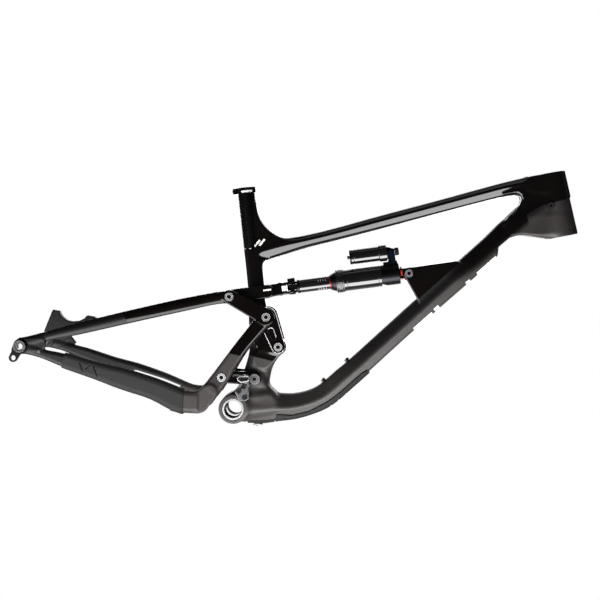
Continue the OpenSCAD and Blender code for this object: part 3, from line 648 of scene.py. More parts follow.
def yoke_rows():
    """Shock yoke: two arms that close to a block with a slot for the shaft end."""
    return [
        ("add", Slab([(*YOKE_PT, 14), (*on_shock(77, 0.4), 13)], 20.5, 28.5, 2.4), 0),
        ("add", Tapered(on_shock(70, 0.5), on_shock(106, 2), 13, 12.3, (20.5, 4), (28.5, 16.5), 2.4), 3),
        ("add", shock_slab(101, 119, -12.3, 12.3, 17, 3.0), 5),
        ("add", shock_slab(112, 129, -11.8, 11.8, 14.5, 3.0), 3),
        ("add", Round(xz(on_shock(126, SHOCK_RISE - 11.8)), xz(SHOCK_UP), 23.6, 11, edge=1.5), 2),
        ("cut", shock_slab(106.3, 114.7, -5.5, 5.5, 40, 2.6), 0.6),
        ("cut", shock_slab(115.5, 150, -6.3, 6.3, 40, 0.3), 0.8),
        ("cut", Round(xz(on_shock(126, -30)), xz(SHOCK_UP), 60, 4.15, edge=0), 0),
        ("cut", Slab(disc(YOKE_PT, 11), 15, 40, 0), 0.3)]


def guide_plate_rows():
    """Mounting plate of the chain guide with a square window and two counterbores."""
    outline = [(-4, 42), (-4, 35), (8, 21.3), (20, 22.5), (26, 29), (24.5, 38), (20.5, 50), (21, 57),
               (13, 71), (4, 72.5), (0.5, 66), (3, 57)]
    window = [(4.5, 46.5), (14.5, 46.5), (16, 57), (6, 57.5)]
    rows = [("add", Slab(outline, -41.4, -38.2, 0.7, both=False), 0),
            ("cut", Slab(window, -60, -30, 0, both=False), 0.5)]
    rows += [("cut", across(p, 5.4, -60, -40.6, 0), 0.3) for p in GUIDE_BOLTS]
    return rows + [("cut", across(p, 2.65, -60, -30, 0), 0) for p in GUIDE_BOLTS]


def guide_cage_rows():
    """Oval cage round the upper run of the chain, open at both ends."""
    outline = [(-7, 66), (-5.5, 70.5), (8, 75.5), (15, 77.3), (19, 73.5), (19.5, 66), (15, 62.5), (3, 58.3),
               (-3.5, 60.5)]
    inner = [(-3.8, 66), (-2.6, 68.5), (9, 72.8), (14, 74), (16, 71.8), (16.4, 67.5), (13.5, 65.5),
             (3, 61.4), (-1.5, 62.8)]
    chain = [(-12, 62), (-3, 65.3), (14, 69.5), (26, 71), (26, 75.4), (14, 73.9), (-3, 69.3), (-12, 66)]
    return [
        ("add", Slab(outline, -54.8, -42, 1.4, both=False), 0),
        ("cut", Slab(inner, -60, -43.5, 0, both=False), 0.3),
        ("cut", Slab(chain, -52.5, -44, 0.3, both=False), 0.3)]


def guard_rows():
    """Ribbed guard under the lower end of the down tube."""
    grown = [(x, z, d + 6.6, w + 6.6) for x, z, d, w in DOWN_TUBE]
    edge = [(88, -40), (88, 9), (118, 14), (150, 30), (182, 58), (204, 84), (236, 131), (247, 141),
            (290, 100), (200, -20)]
    ribs = []
    for x, z in ((150, 22), (163, 32), (176, 43), (188, 57), (199, 72), (210, 88)):
        n = np.array([0.72, -0.69])
        mid = np.array([x, z]) + n * 6.2
        ribs.append(("cut", Slab([(*(mid - [1, 1]), 1.1), (*(mid + n * 5), 1.1)], -1, 15, 0.4), 0.6))
    return [("add", Tube(grown, KEEL, edge=7.0), 0), ("keep", Slab(edge, -1, 40, 1), 1.5),
            ("cut", Tube(DOWN_TUBE[:11], KEEL, edge=5.0), 0.3)] + ribs


def stay_guard_rows():
    """Sleeve over the right chain stay with three moulded creases and a lip at its front end."""
    grown = [(x, z, d + 4.8, w + 4.8, y) for x, z, d, w, y in CHAIN_STAY]
    joint = [(x, z, d + 1, w + 1, y) for x, z, d, w, y in UPRIGHT[2:]]
    edge = [(-347, -30), (-347, 60), (-112, 60), (-93, -34)]
    lip = [(-122, -24), (-120, -29), (-95, -29.5), (-98, -20)]
    creases = [((-313, 25), (-299, 3), 80.7), ((-285, 24), (-271, 3), 78.3), ((-293, 26), (-298, 17), 79.8)]
    bars = [("cut", Slab([(*a, 1.2), (*b, 1.2)], -100, -y, 0.4, both=False), 0.8) for a, b, y in creases]
    return [("add", Tube(grown, BLADE, edge=4.6, side=-1), 0),
            ("keep", Slab(edge, -100, -36, 0.5, both=False), 1),
            ("add", Slab(lip, -60, -46, 1.5, both=False), 2),
            ("cut", Tube(CHAIN_STAY, BLADE, edge=3.6, side=-1), 0.3),
            ("cut", Tube(joint, BLADE, side=-1), 0.3)] + bars


# ------------------------------------------------------------------ materials
class Graph:
    """A small helper that builds node materials."""

    def __init__(self, name, colour, rough, metal=0.0, **sockets):
        self.m = bpy.data.materials.new(name)
        self.m.use_nodes = True
        self.t = self.m.node_tree
        self.b = self.t.nodes["Principled BSDF"]
        self.b.inputs["Base Color"].default_value = (*colour, 1)
        self.b.inputs["Roughness"].default_value = rough
        self.b.inputs["Metallic"].default_value = metal
        for k, v in sockets.items():
            self.b.inputs[k.replace("_", " ")].default_value = v
        self.p = self.node("ShaderNodeTexCoord").outputs["Object"]

    def node(self, kind, inputs=(), **attrs):
        n = self.t.nodes.new(kind)
        for k, v in attrs.items():
            setattr(n, k, v)
        for k, v in dict(inputs).items():
            if isinstance(v, bpy.types.NodeSocket):
                self.t.links.new(v, n.inputs[k])
            else:
                n.inputs[k].default_value = v
        return n

    def math(self, op, a, b=0.0, c=0.0):
        return self.node("ShaderNodeMath", {0: a, 1: b, 2: c}, operation=op).outputs[0]

    def along(self, direction, offset=0.0):
        """Position along a direction, in metres, measured from an offset."""
        d = self.node("ShaderNodeVectorMath", {0: self.p, 1: tuple(direction)}, operation="DOT_PRODUCT")
        return self.math("SUBTRACT", d.outputs["Value"], offset)

    def beyond(self, p0, p1, blur=0.0006):
        """1 on the left of the side-view line p0 to p1 (millimetres), 0 on its right."""
        d = np.array([p1[0] - p0[0], p1[1] - p0[1]], float)
        n = np.array([-d[1], d[0]]) / np.linalg.norm(d)
        side = self.along((n[0], 0, n[1]), float(n @ np.array(p0)) * MM)
        return self.ramp(side, -blur, blur)

    def ramp(self, value, lo, hi, out_lo=0.0, out_hi=1.0):
        return self.node("ShaderNodeMapRange", {"Value": value, "From Min": lo, "From Max": hi,
                                                "To Min": out_lo, "To Max": out_hi}).outputs["Result"]

    def box(self, centre, direction, half_long, half_high, blur=0.0004):
        """Mask of a side-view rectangle, millimetres."""
        d = np.array(direction, float) / np.linalg.norm(direction)
        n = np.array([-d[1], d[0]])
        c = np.array(centre, float)
        parts = []
        for ax, half in ((d, half_long), (n, half_high)):
            s = self.math("ABSOLUTE", self.along((ax[0], 0, ax[1]), float(ax @ c) * MM))
            parts.append(self.ramp(s, half * MM - blur, half * MM + blur, 1.0, 0.0))
        return self.math("MULTIPLY", *parts)

    def noise(self, scale, detail=3.0, rough=0.5, stretch=None):
        v = self.p
        if stretch:
            v = self.node("ShaderNodeMapping", {"Vector": v, "Scale": stretch}).outputs[0]
        return self.node("ShaderNodeTexNoise", {"Vector": v, "Scale": scale, "Detail": detail,
                                                "Roughness": rough}).outputs["Fac"]

    def mix(self, fac, a, b):
        n = self.node("ShaderNodeMix", data_type="RGBA")
        for sock, v in ((n.inputs[0], fac), (n.inputs[6], a), (n.inputs[7], b)):
            if isinstance(v, bpy.types.NodeSocket):
                self.t.links.new(v, sock)
            elif isinstance(v, float):
                sock.default_value = v
            else:
                sock.default_value = (*v, 1)
        return n.outputs[2]

    def colour(self, socket):
        self.t.links.new(socket, self.b.inputs["Base Color"])

    def rough(self, socket):
        self.t.links.new(socket, self.b.inputs["Roughness"])

    def bump(self, height, strength=0.2, distance=0.0003):
        n = self.node("ShaderNodeBump", {"Height": height, "Strength": strength, "Distance": distance})
        self.t.links.new(n.outputs[0], self.b.inputs["Normal"])


GLOSS = (0.0020, 0.0014, 0.0013)
CHARCOAL = ((0.0215, 0.0175, 0.0170), (0.0260, 0.0220, 0.0213), (0.0340, 0.0300, 0.0293))
# Colour of painted shade on the charcoal, used where a shade mask is 1.
PAINTED_SHADE = (0.0042, 0.0034, 0.0032)
WHITE = (0.82, 0.82, 0.80)


def carbon(name, gloss_mask, marks=(), shade=None, tone=1.0, **sockets):
    """Clear-coated black over carbon where gloss_mask is 1, sanded charcoal elsewhere, with pale marks.

    The charcoal is multiplied by tone and turns to a painted shade colour where the shade mask is 1.
    """
    g = Graph(name, GLOSS, 0.06, **sockets)
    gloss = gloss_mask(g) if callable(gloss_mask) else g.math("ADD", float(gloss_mask), 0.0)
    flow = g.noise(9.0, 3.0, 0.55, (1.0, 2.5, 1.0))
    grain = g.noise(1500.0, 2.0, 0.6)
    dust = g.noise(260.0, 5.0, 0.7)
    dark = g.mix(g.ramp(flow, 0.35, 0.7), GLOSS, (0.0034, 0.0022, 0.0020))
    low, mid, high = [tuple(c * tone for c in rgb) for rgb in CHARCOAL]
    grey = g.mix(g.ramp(flow, 0.3, 0.7), low, mid)
    grey = g.mix(g.ramp(grain, 0.3, 0.75, 0.0, 0.35), grey, high)
    # Painted shade: the charcoal darkens where the shade mask is 1.
    if shade:
        grey = g.mix(shade(g), grey, PAINTED_SHADE)
    base = g.mix(gloss, grey, dark)
    shiny = g.ramp(dust, 0.4, 0.8, 0.05, 0.11)
    matte = g.ramp(grain, 0.2, 0.8, 0.40, 0.52)
    rough = g.node("ShaderNodeMix", {0: gloss, 2: matte, 3: shiny}, data_type="FLOAT").outputs[0]
    if marks:
        ink = None
        for m in marks:
            part = m(g)
            ink = part if ink is None else g.math("MAXIMUM", ink, part)
        base = g.mix(ink, base, WHITE)
        rough = g.node("ShaderNodeMix", {0: ink, 2: rough, 3: 0.3}, data_type="FLOAT").outputs[0]
    g.colour(base)
    g.rough(rough)
    fine = g.math("MULTIPLY", grain, g.math("SUBTRACT", 1.0, gloss))
    g.bump(g.math("ADD", g.math("MULTIPLY", flow, 0.25), fine), 0.16, 0.0002)
    return g.m


def metal(name, colour, rough, scale=900.0, stretch=None, spread=0.12, bump=0.05):
    """Machined or anodised metal with fine tooling and a little uneven polish."""
    g = Graph(name, colour, rough, 1.0)
    tool = g.noise(scale, 3.0, 0.6, stretch)
    wear = g.noise(70.0, 4.0, 0.6)
    worn, clean = tuple(c * 0.86 for c in colour), tuple(min(1, c * 1.1) for c in colour)
    g.colour(g.mix(g.ramp(wear, 0.3, 0.75), worn, clean))
    g.rough(g.ramp(tool, 0.2, 0.8, max(0.03, rough - spread), rough + spread))
    g.bump(tool, bump, 0.0001)
    return g.m


def lacquer(name):
    """Deep black lacquer over turned metal."""
    g = Graph(name, (0.004, 0.0035, 0.0035), 0.12, 0.0, IOR=1.85)
    cloud = g.noise(60.0, 4.0, 0.6)
    g.colour(g.mix(g.ramp(cloud, 0.3, 0.75), (0.003, 0.0026, 0.0026), (0.006, 0.005, 0.005)))
    g.rough(g.ramp(cloud, 0.2, 0.8, 0.09, 0.15))
    g.bump(g.noise(500.0, 3.0, 0.6), 0.02, 0.0001)
    return g.m


def moulded(name, colour, rough=0.7, scale=700.0, bump=0.35):
    """Matte rubber or plastic with a pebbled skin."""
    g = Graph(name, colour, rough, IOR=1.36)
    cells = g.node("ShaderNodeTexVoronoi", {"Vector": g.p, "Scale": scale}).outputs["Distance"]
    cloud = g.noise(30.0, 4.0, 0.6)
    low, high = tuple(c * 0.8 for c in colour), tuple(c * 1.25 for c in colour)
    g.colour(g.mix(g.ramp(cloud, 0.3, 0.75), low, high))
    g.rough(g.ramp(cloud, 0.2, 0.8, rough - 0.08, rough + 0.08))
    g.bump(cells, bump, 0.0002)
    return g.m


def either(g, *masks):
    """Union of masks."""
    out = masks[0]
    for m in masks[1:]:
        out = g.math("MAXIMUM", out, m)
    return out


def all_of(g, *masks):
    """Common part of masks."""
    out = masks[0]
    for m in masks[1:]:
        out = g.math("MULTIPLY", out, m)
    return out


def ringed(name, centres, colour):
    """Bolt heads with painted shade in the socket and in a groove round it."""
    g = Graph(name, colour, 0.45, 1.0)
    near = None
    for c in centres:
        flat = g.node("ShaderNodeVectorMath", {0: g.p, 1: (c[0] * MM, 0, c[1] * MM)}, operation="SUBTRACT")
        flat = g.node("ShaderNodeVectorMath", {0: flat.outputs[0], 1: (1, 0, 1)}, operation="MULTIPLY")
        r = g.node("ShaderNodeVectorMath", {0: flat.outputs[0]}, operation="LENGTH").outputs["Value"]
        near = r if near is None else g.math("MINIMUM", near, r)
    turned_marks = g.ramp(g.math("SINE", g.math("MULTIPLY", near, 9000.0)), -1, 1, 0.8, 1.0)
    # Painted shade: the socket and the groove round it are painted near black.
    socket = g.ramp(near, 0.0040, 0.0043, 1.0, 0.0)
    groove = all_of(g, g.ramp(near, 0.0058, 0.0061), g.ramp(near, 0.0069, 0.0072, 1.0, 0.0))
    dark = either(g, socket, groove)
    shade = g.mix(turned_marks, tuple(c * 0.7 for c in colour), colour)
    g.colour(g.mix(dark, shade, (0.012, 0.012, 0.012)))
    g.rough(g.ramp(g.noise(900.0), 0.2, 0.8, 0.38, 0.52))
    g.bump(turned_marks, 0.06, 0.0001)
    return g.m


def shaft_finish():
    """Polished black shaft with two rows of pale setting marks."""
    g = Graph("polished_shaft", (0.02, 0.02, 0.022), 0.12, 0.0, IOR=1.85)
    ink = either(g, *[g.box(on_shock(s, SHOCK_RISE + up), SHOCK_DIR, 0.5, 1.5, 0.0002)
                      for s in (181, 186, 191, 196) for up in (6.5, -10.8)])
    wear = g.ramp(g.noise(60.0, 4.0, 0.6), 0.3, 0.75)
    g.colour(g.mix(ink, g.mix(wear, (0.004, 0.004, 0.005), (0.008, 0.008, 0.009)), (0.6, 0.6, 0.6)))
    g.rough(g.ramp(g.noise(1500.0, 3.0, 0.6, (1, 6, 1)), 0.2, 0.8, 0.09, 0.16))
    return g.m


def sleeve_finish():
    """Bright machined faces at the ends of the bottom-bracket sleeve and painted shade inside its threaded
    bore.
    """
    g = Graph("sleeve_alloy", (0.5, 0.5, 0.51), 0.3, 1.0)
    x, z = g.along((1, 0, 0)), g.along((0, 0, 1))
    reach = g.math("SQRT", g.math("ADD", g.math("MULTIPLY", x, x), g.math("MULTIPLY", z, z)))
    # Painted shade: inside the threads the sleeve is painted near black.
    inside = g.ramp(reach, 0.0177, 0.0181, 1.0, 0.0)
    tool = g.noise(1400.0, 3.0, 0.6, (1, 8, 1))
    shade = g.mix(g.ramp(tool, 0.3, 0.7), (0.46, 0.46, 0.47), (0.58, 0.58, 0.59))
    g.colour(g.mix(inside, shade, (0.010, 0.009, 0.009)))
    g.rough(g.ramp(tool, 0.2, 0.8, 0.26, 0.40))
    g.bump(tool, 0.05, 0.0001)
    return g.m


def front_gloss(g):
    """Gloss on the seat tube, the top tube, the upper head, the shock gusset and the upper down tube."""
    seat = all_of(g, g.beyond((0, 112), (60, 112)), g.beyond((100, 112), (60, 350)))
    top = g.beyond((60, 330), (440, 548))
    ahead = g.beyond((466, 559), (484, 526))
    head = either(g, g.beyond((484, 526), (513, 553)), g.beyond((513, 553), (561, 579)))
    gusset = all_of(g, g.beyond((310, 303), (376, 398)), g.beyond((400, 440), (150, 400)),
                    g.beyond((230, 400), (230, 200)), g.beyond((200, 300), (400, 300)))
    down = all_of(g, g.beyond((300, 233), (445, 443.5), 0.006), g.beyond((372, 389), (454, 332), 0.03))
    behind = g.math("SUBTRACT", 1.0, ahead)
    return either(g, seat, all_of(g, either(g, top, down), behind), all_of(g, head, ahead), gusset)


def rear_gloss(g):
    """Gloss on the seat stays forward of a slanted line and on the tops of the uprights."""
    return all_of(g, g.beyond((-259, 141), (-237, 119)), g.beyond((-60, 109), (20, 109)))


def front_shade(g):
    """Painted shade: soft darkening of the upper half of the down tube ahead of its bend."""
    return all_of(g, g.beyond((293, 237.6), (437.6, 448.2), 0.012), g.beyond((220, 130), (302, 73), 0.06))


def rear_shade(g):
    """Painted shade: soft darkening towards the dropouts."""
    return g.beyond((-150, 0), (-150, 100), 0.05)


def stripes(*rows):
    """Pale marks from (centre, direction, half length, half height) rows."""
    return [lambda g, r=r: g.box(*r) for r in rows]


# ------------------------------------------------------------------ turned pieces
def turned(name, origin, axis, profile, body, slot, material, nodes=(), segments=96, wave=None):
    """Closed section of (along, radius) points spun about an axis; wave(angle, along, radius) flutes it."""
    axis = Vector(axis).normalized()
    side = axis.cross(Vector((0.13, 1, 0.21))).normalized()
    up = axis.cross(side)
    verts, faces = [], []
    n = len(profile)
    for k in range(segments):
        t = 2 * math.pi * k / segments
        spoke = side * math.cos(t) + up * math.sin(t)
        for s, r in profile:
            r = wave(t, s, r) if wave else r
            verts.append(Vector(origin) + axis * s + spoke * r)
    for k in range(segments):
        a, b = k * n, (k + 1) % segments * n
        faces += [(a + i, b + i, b + (i + 1) % n, a + (i + 1) % n) for i in range(n)]
    ob = mesh_piece(name, np.array([tuple(v) for v in verts]), faces, body, slot, material, *nodes)
    bevel(ob, 0.35)
    return ob


def bevel(ob, width, segments=2):
    """Rounds the sharp edges of a machined or moulded piece."""
    m = ob.modifiers.new("bevel", "BEVEL")
    m.width = width * MM
    m.segments = segments
    m.limit_method = "ANGLE"
    m.angle_limit = math.radians(32)
    m.use_clamp_overlap = True
    m.harden_normals = True
    ob.data.shade_smooth()


# ------------------------------------------------------------------ materials in use
def make_materials():
    seat_marks = stripes(((-35, 338), (0.45, 0.9), 8.5, 2.0), ((-26, 342), (0.45, 0.9), 8.5, 2.0))
    tube_marks = stripes(*[((x, z), (0.569, 0.822), half, 5.5) for x, z, half in (
        (460.5, 438, 5), (434, 405, 26), (405, 363, 5.5), (355, 295.5, 6), (335, 263, 25))])
    pivots = (ROCKER_BASE, LINK_BASE, LINK_PT, YOKE_PT, ROCKER_PT, SHOCK_PT)
    return {
        "front": carbon("front_carbon", front_gloss, seat_marks + tube_marks, front_shade),
        "rear": carbon("rear_carbon", rear_gloss, (), rear_shade, 1.2, IOR=1.36),
        "gloss": carbon("gloss_carbon", 1.0),
        "yoke": carbon("yoke_carbon", 1.0, stripes((on_shock(77, 3.6), SHOCK_DIR, 8, 1.5))),
        "clamp": carbon("clamp_finish", 1.0, stripes((SEAT_TOP + [4, -3], (0.94, 0.342), 11, 1.9))),
        "alloy": metal("machined_alloy", (0.50, 0.50, 0.51), 0.34, 1400, (1, 8, 1)),
        "cage": metal("cage_alloy", (0.34, 0.34, 0.345), 0.30, 900),
        "sleeve": sleeve_finish(),
        "dark_alloy": metal("dark_alloy", (0.16, 0.16, 0.165), 0.36, 900),
        "silver": metal("polished_steel", (0.66, 0.66, 0.67), 0.22, 1100, None, 0.08),
        "pivot": ringed("pivot_bolt", pivots, (0.60, 0.60, 0.61)),
        "dark_pivot": ringed("dark_pivot_bolt", pivots, (0.20, 0.20, 0.205)),
        "edge": metal("polished_edge", (0.40, 0.40, 0.41), 0.22, 900, None, 0.05),
        "black_alloy": metal("black_anodised", (0.022, 0.022, 0.024), 0.34, 900),
        "black_bolt": metal("black_steel", (0.05, 0.05, 0.052), 0.32, 1000),
        "rubber": moulded("guard_rubber", (0.0095, 0.0088, 0.0085)),
        "grommet": moulded("soft_rubber", (0.012, 0.012, 0.012), 0.6, 1200, 0.15),
        "can": lacquer("can_lacquer"),
        "shaft": shaft_finish(),
        "red": metal("red_anodised", (0.55, 0.03, 0.02), 0.35, 800),
        "blue": metal("blue_anodised", (0.03, 0.055, 0.12), 0.30, 800),
        "bronze": metal("bronze_bush", (0.42, 0.30, 0.14), 0.4, 700),
    }


NODE_FINISH = {
    "alloy": ["rocker_axle", "link_axle", "stay_axle", "brake_inserts", "air_piston",
              "link_bearings_front", "link_bearings_rear", "rocker_bearings_front",
              "rocker_bearings_rear", "yoke_bearings"],
    "dark_alloy": ["hanger_ring", "axle_insert_right", "axle_insert_left"],
    "silver": ["guard_screws", "port_screw"],
    "pivot": ["rocker_axle_bolts", "stay_axle_bolts", "rocker_pins", "yoke_pins", "shock_bolt"],
    "black_alloy": ["bottle_bosses", "headset_seat_upper", "headset_seat_lower", "seat_post_insert",
                    "derailleur_hanger", "shaft_end"],
    "dark_pivot": ["link_axle_bolts"],
    "black_bolt": ["guide_bolts", "bottle_bolts", "yoke_bolt", "seat_clamp_bolt"],
    "clamp": ["seat_clamp"],
    "rubber": ["bb_cover"],
    "grommet": ["cable_grommets"],
    "blue": ["compression_lever"],
    "bronze": ["eye_bushing"],
}


def finish_nodes(mats):
    """Materials and small bevels on the CAD nodes that are drawn as they are."""
    for key, names in NODE_FINISH.items():
        for name in names:
            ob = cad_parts[name]
            for slot in ob.material_slots:
                slot.material = mats[key]
            bevel(ob, 0.35)


def build_shells(mats):
    """The meshed pieces: both triangles, the yoke, the links, the guards and the chain guide."""
    shell("front_shell", front_rows(), (-125, -40, -36), (610, 40, 645), 2.2, "front", "carbon",
          mats["front"], "front_triangle")
    shell("rear_shell", rear_rows(), (-455, -90, -36), (44, 90, 240), 1.6, "swingarm", "carbon",
          mats["rear"], "rear_triangle")
    shell("yoke_shell", yoke_rows(), (-78, -30, 200), (74, 30, 302), 1.0, "shaft", "carbon", mats["yoke"],
          "shock_yoke")
    for side, lo, hi in (("right", -30, -19.5), ("left", 19.5, 30)):
        shell("rocker_plate_" + side, link_rows(), (-2, lo, 126), (76, hi, 220), 0.8, "upper_link", "carbon",
              mats["gloss"], "rocker_" + side, chamfer=mats["edge"])
    shell("lower_link_shell", lower_link_rows(), (-54, -31, 40), (44, 31, 86), 1.0, "lower_link", "carbon",
          mats["gloss"], "lower_link")
    shell("guide_plate_body", guide_plate_rows(), (-8, -44, 18), (30, -36, 76), 0.7, "front", "bare_alloy",
          mats["dark_alloy"], "guide_plate")
    shell("guide_cage_body", guide_cage_rows(), (-10, -57, 55), (23, -40, 81), 0.5, "front", "bare_alloy",
          mats["cage"], "guide_cage")
    shell("downtube_pad", guard_rows(), (80, -40, -20), (262, 40, 150), 1.3, "front", "rubber",
          mats["rubber"], "downtube_guard")
    shell("chainstay_pad", stay_guard_rows(), (-352, -100, -40), (-88, -36, 50), 1.2, "swingarm", "rubber",
          mats["rubber"], "chainstay_guard")


def head_rows():
    """Shock head: barrel with a groove, top block, post, reservoir boss and the tongue round the eye."""
    axis = xz(SHOCK_DIR)
    at = lambda s, up=0.0: xz(on_shock(s, SHOCK_RISE + up))
    return [
        ("add", Round(at(311.1), axis, 38, 21.5, edge=1.0), 0),
        ("add", shock_slab(318, 347, 10, 27, 10, 2.0), 3),
        ("add", shock_slab(329.5, 344.5, 25, 56.8, 9, 1.5), 2.5),
        ("add", Round(at(327.2, RES_OFF), axis, 2.6, 13, edge=0.5), 1),
        ("add", Tapered(on_shock(345, SHOCK_RISE), SHOCK_PT, 10, 10.8, (-1, -1), (11.8, 11.8), 1.0), 1),
        ("add", across(SHOCK_PT, 10.8, -11.8, 11.8, 0.8), 0),
        ("cut", Round(at(310), axis, 20, 12, edge=0), 0),
        ("cut", shock_slab(321, 326.5, 21, 30, 4, 0.8), 0.6),
        ("cut", drill(SHOCK_PT, 7.6), 0),
        ("cut", Round(at(318, RES_OFF), axis, 10, 17.2, edge=0), 0)]


def spin(name, profile, material, mats, body="shock_body", slot="black_alloy", off=0.0, wave=None,
         segments=96):
    """Turned piece on the shock axis (or off it) that stands for the CAD node of the same name."""
    return turned(name + "_turned", xz(on_shock(0, SHOCK_RISE + off)), xz(SHOCK_DIR), profile, body, slot,
                  mats[material], (name,), segments, wave)


def knurl(count, depth, r_min):
    """Fluting of the outer surface only."""
    return lambda t, s, r: r - depth * (0.5 + 0.5 * math.cos(count * t)) if r > r_min else r


def grooved(s0, s1, r, bore, grooves, depth=0.6, width=1.2):
    """Closed section of a sleeve with square grooves cut round it."""
    pts = [(s0, bore), (s0, r)]
    for g in grooves:
        pts += [(g, r), (g + 0.2, r - depth), (g + width - 0.2, r - depth), (g + width, r)]
    return pts + [(s1, r), (s1, bore)]


def build_shock(mats):
    """Shock head, shaft, can, reservoir and dials."""
    shell("shock_head_body", head_rows(), (212, -24, 318), (296, 24, 386), 0.8, "shock_body", "black_alloy",
          mats["black_alloy"], "shock_head")
    spin("shock_shaft", [(142, 3), (142, 13.5), (234, 13.5), (234, 3)], "shaft", mats, "shaft",
         "shaft_black")
    turns = np.linspace(0, 2 * math.pi, 14)[:-1]
    ring = [(205.6 + 1.2 * math.cos(a), 14.4 + 0.8 * math.sin(a)) for a in turns]
    spin("travel_ring", ring, "red", mats, "travel_ring", "red_trim")
    seal = [(207.2, 13.6), (207.2, 16.2), (209.0, 17.0), (209.4, 16.4), (210.2, 16.6), (210.6, 17.6),
            (216.2, 19.5), (218.8, 19.5), (218.8, 16.9), (224.6, 16.9), (224.6, 13.6)]
    spin("seal_head", seal, "black_alloy", mats)
    spin("can_collar", grooved(218, 234, 23.6, 22.02, (220.5, 230.3), 0.7, 1.4), "can", mats,
         slot="can_black", wave=knurl(60, 0.25, 23.5), segments=360)
    spin("air_can", grooved(219, 311, 22, 17, (240, 304.5), 0.45, 1.2), "can", mats, segments=128)
    spin("reservoir", [(255, 12.6), (255, 15.2), (259, 15.2), (259.2, 14.7), (260.4, 14.7), (260.6, 15.2),
                       (311, 15.2), (312.6, 17), (328, 17), (328, 1), (310, 1), (310, 12.6)],
         "can", mats, off=RES_OFF, segments=128)
    cap = [(251.5, 3.6), (251.5, 7.5), (252.6, 8.0), (252.6, 11.5), (251.5, 12), (251.5, 14.6),
           (254.9, 14.6), (254.9, 12.5), (266, 12.5), (266, 10), (262.5, 10), (262.5, 3.6)]
    spin("reservoir_cap", cap, "black_alloy", mats, off=RES_OFF)
    valve = [(246.5, 0.8), (246.5, 3.1), (247, 3.5), (250, 3.5), (250.2, 3.1), (251, 3.1), (251.2, 3.5),
             (260.5, 3.5), (260.5, 0.8)]
    spin("fill_valve", valve, "black_bolt", mats, off=RES_OFF, segments=60)
    spin("rebound_dial", [(351.4, 9.35), (351.4, 13.2), (354.6, 13.2), (354.6, 9.35)], "red", mats,
         "rebound_dial", "red_trim", wave=knurl(40, 0.7, 13), segments=320)
    dial = [(345.2, 0.5), (345.2, 8), (352, 8), (353.5, 6.8), (353.5, 3), (350, 3), (350, 0.5)]
    spin("compression_dial", dial, "black_alloy", mats, "compression_dial", "black_alloy", RES_OFF,
         knurl(24, 0.8, 7.5), 240)


def build_hardware(mats):
    """Threaded bottom-bracket sleeve."""
    half, outer, crest, root, pitch, threads = 37.5, 21.5, 17.0, 17.6, 1.06, 24
    pts = [(-half, outer), (-half, root)]
    for start in (-half + 1.5, half - 1.5 - threads * pitch):
        for i in range(threads):
            pts += [(start + i * pitch, root), (start + (i + 0.5) * pitch, crest)]
    pts += [(half, root), (half, outer)]
    turned("bb_sleeve_turned", (0, 0, 0), (0, 1, 0), pts, "front", "bare_alloy", mats["sleeve"],
           ("bb_sleeve",), 128)


# ------------------------------------------------------------------ studio
ROLL = math.radians(13.85)
EYE = (0.1442, -2.0, 0.3363)
LENS = 58.22
SHIFT = (-0.07, -0.0583)
FLOOR_Z = -0.42
FLOOR_HALF = 6.0
MIDDLE = (0.08, 0, 0.3)
WHITE_LIGHT, DIM_LIGHT = ((1, 1, 1, 1), 1.0), ((0.95, 0.96, 1.0, 1), 0.05)
# name, place, target, long axis, length, width, watts
SOFT_BOXES = [
    ("below", (0.08, -0.68, -0.40), (0.08, -0.68, 0.5), (1, 0, 0), 2.3, 0.86, 54),
    ("behind", (0.1, 1.3, 1.5), MIDDLE, (1, 0, 0.25), 2.4, 0.9, 14),
    ("overhead", (0.1, -0.2, 2.1), MIDDLE, (1, 0, 0), 2.4, 0.5, 2),
    ("far_side", (0.1, 1.9, 0.4), MIDDLE, (1, 0, 0), 2.4, 1.0, 30),
]


def add_camera():
    """Side view from the drive side, rolled so that the rear axle drops to the left."""
    data = bpy.data.cameras.new("camera")
    data.lens = LENS
    data.sensor_width = 36
    data.shift_x, data.shift_y = SHIFT
    cam = bpy.data.objects.new("camera", data)
    right = Vector((math.cos(ROLL), 0, math.sin(ROLL)))
    up = Vector((-math.sin(ROLL), 0, math.cos(ROLL)))
    m = Matrix((right, up, Vector((0, -1, 0)))).transposed().to_4x4()
    m.translation = EYE
    cam.matrix_world = m
    bpy.context.scene.collection.objects.link(cam)
    bpy.context.scene.camera = cam


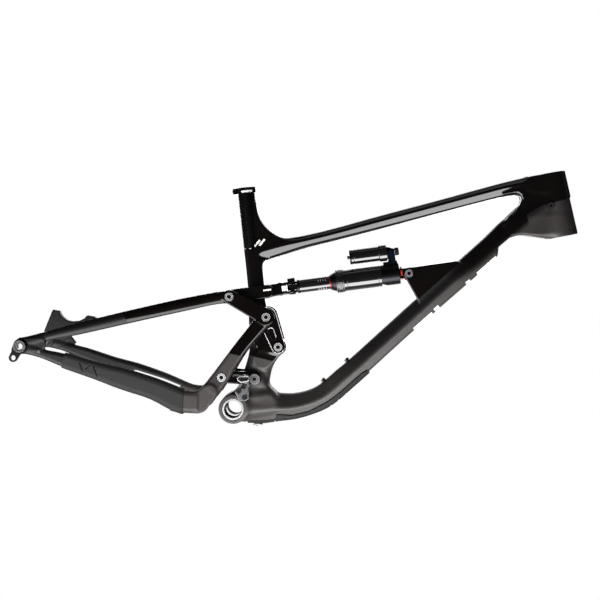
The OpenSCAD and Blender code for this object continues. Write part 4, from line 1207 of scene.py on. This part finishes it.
def area(name, place_at, look_at, long_axis, long, wide, power):
    """Soft box whose long side runs along an axis."""
    data = bpy.data.lights.new(name, "AREA")
    data.shape = "RECTANGLE"
    data.size, data.size_y = long, wide
    data.energy = power
    back = (Vector(place_at) - Vector(look_at)).normalized()
    side = (Vector(long_axis) - back * back.dot(Vector(long_axis))).normalized()
    m = Matrix((side, back.cross(side), back)).transposed().to_4x4()
    m.translation = place_at
    ob = bpy.data.objects.new(name, data)
    ob.matrix_world = m
    bpy.context.scene.collection.objects.link(ob)
    ob.visible_camera = False


def seen_or_not(tree, seen, unseen, out):
    """White to the camera, dim to every other ray."""
    path, mix = tree.nodes.new("ShaderNodeLightPath"), tree.nodes.new("ShaderNodeMixShader")
    tree.links.new(path.outputs["Is Camera Ray"], mix.inputs[0])
    tree.links.new(unseen.outputs[0], mix.inputs[1])
    tree.links.new(seen.outputs[0], mix.inputs[2])
    tree.links.new(mix.outputs[0], out.inputs[0])


def add_studio():
    """White surroundings, a white floor and the soft boxes."""
    scene = bpy.context.scene
    scene.view_settings.view_transform = "Standard"
    world = bpy.data.worlds.new("studio")
    scene.world = world
    world.use_nodes = True
    t = world.node_tree
    t.nodes.clear()
    out = t.nodes.new("ShaderNodeOutputWorld")
    lights = []
    for colour, strength in (WHITE_LIGHT, DIM_LIGHT):
        light = t.nodes.new("ShaderNodeBackground")
        light.inputs["Color"].default_value = colour
        light.inputs["Strength"].default_value = strength
        lights.append(light)
    seen_or_not(t, *lights, out)

    me = bpy.data.meshes.new("floor")
    z, h = FLOOR_Z, FLOOR_HALF
    me.from_pydata([(-h, -h, z), (h, -h, z), (h, h, z), (-h, h, z)], [], [(0, 1, 2, 3)])
    floor = bpy.data.objects.new("floor", me)
    scene.collection.objects.link(floor)
    g = Graph("floor", (0.8, 0.8, 0.8), 0.9)
    white = g.node("ShaderNodeEmission", {"Color": (1, 1, 1, 1), "Strength": 1.0})
    seen_or_not(g.t, white, g.b, g.t.nodes["Material Output"])
    me.materials.append(g.m)
    for box in SOFT_BOXES:
        area(*box)


def main():
    add_camera()
    mats = make_materials()
    build_shells(mats)
    build_shock(mats)
    build_hardware(mats)
    finish_nodes(mats)
    add_studio()


main()
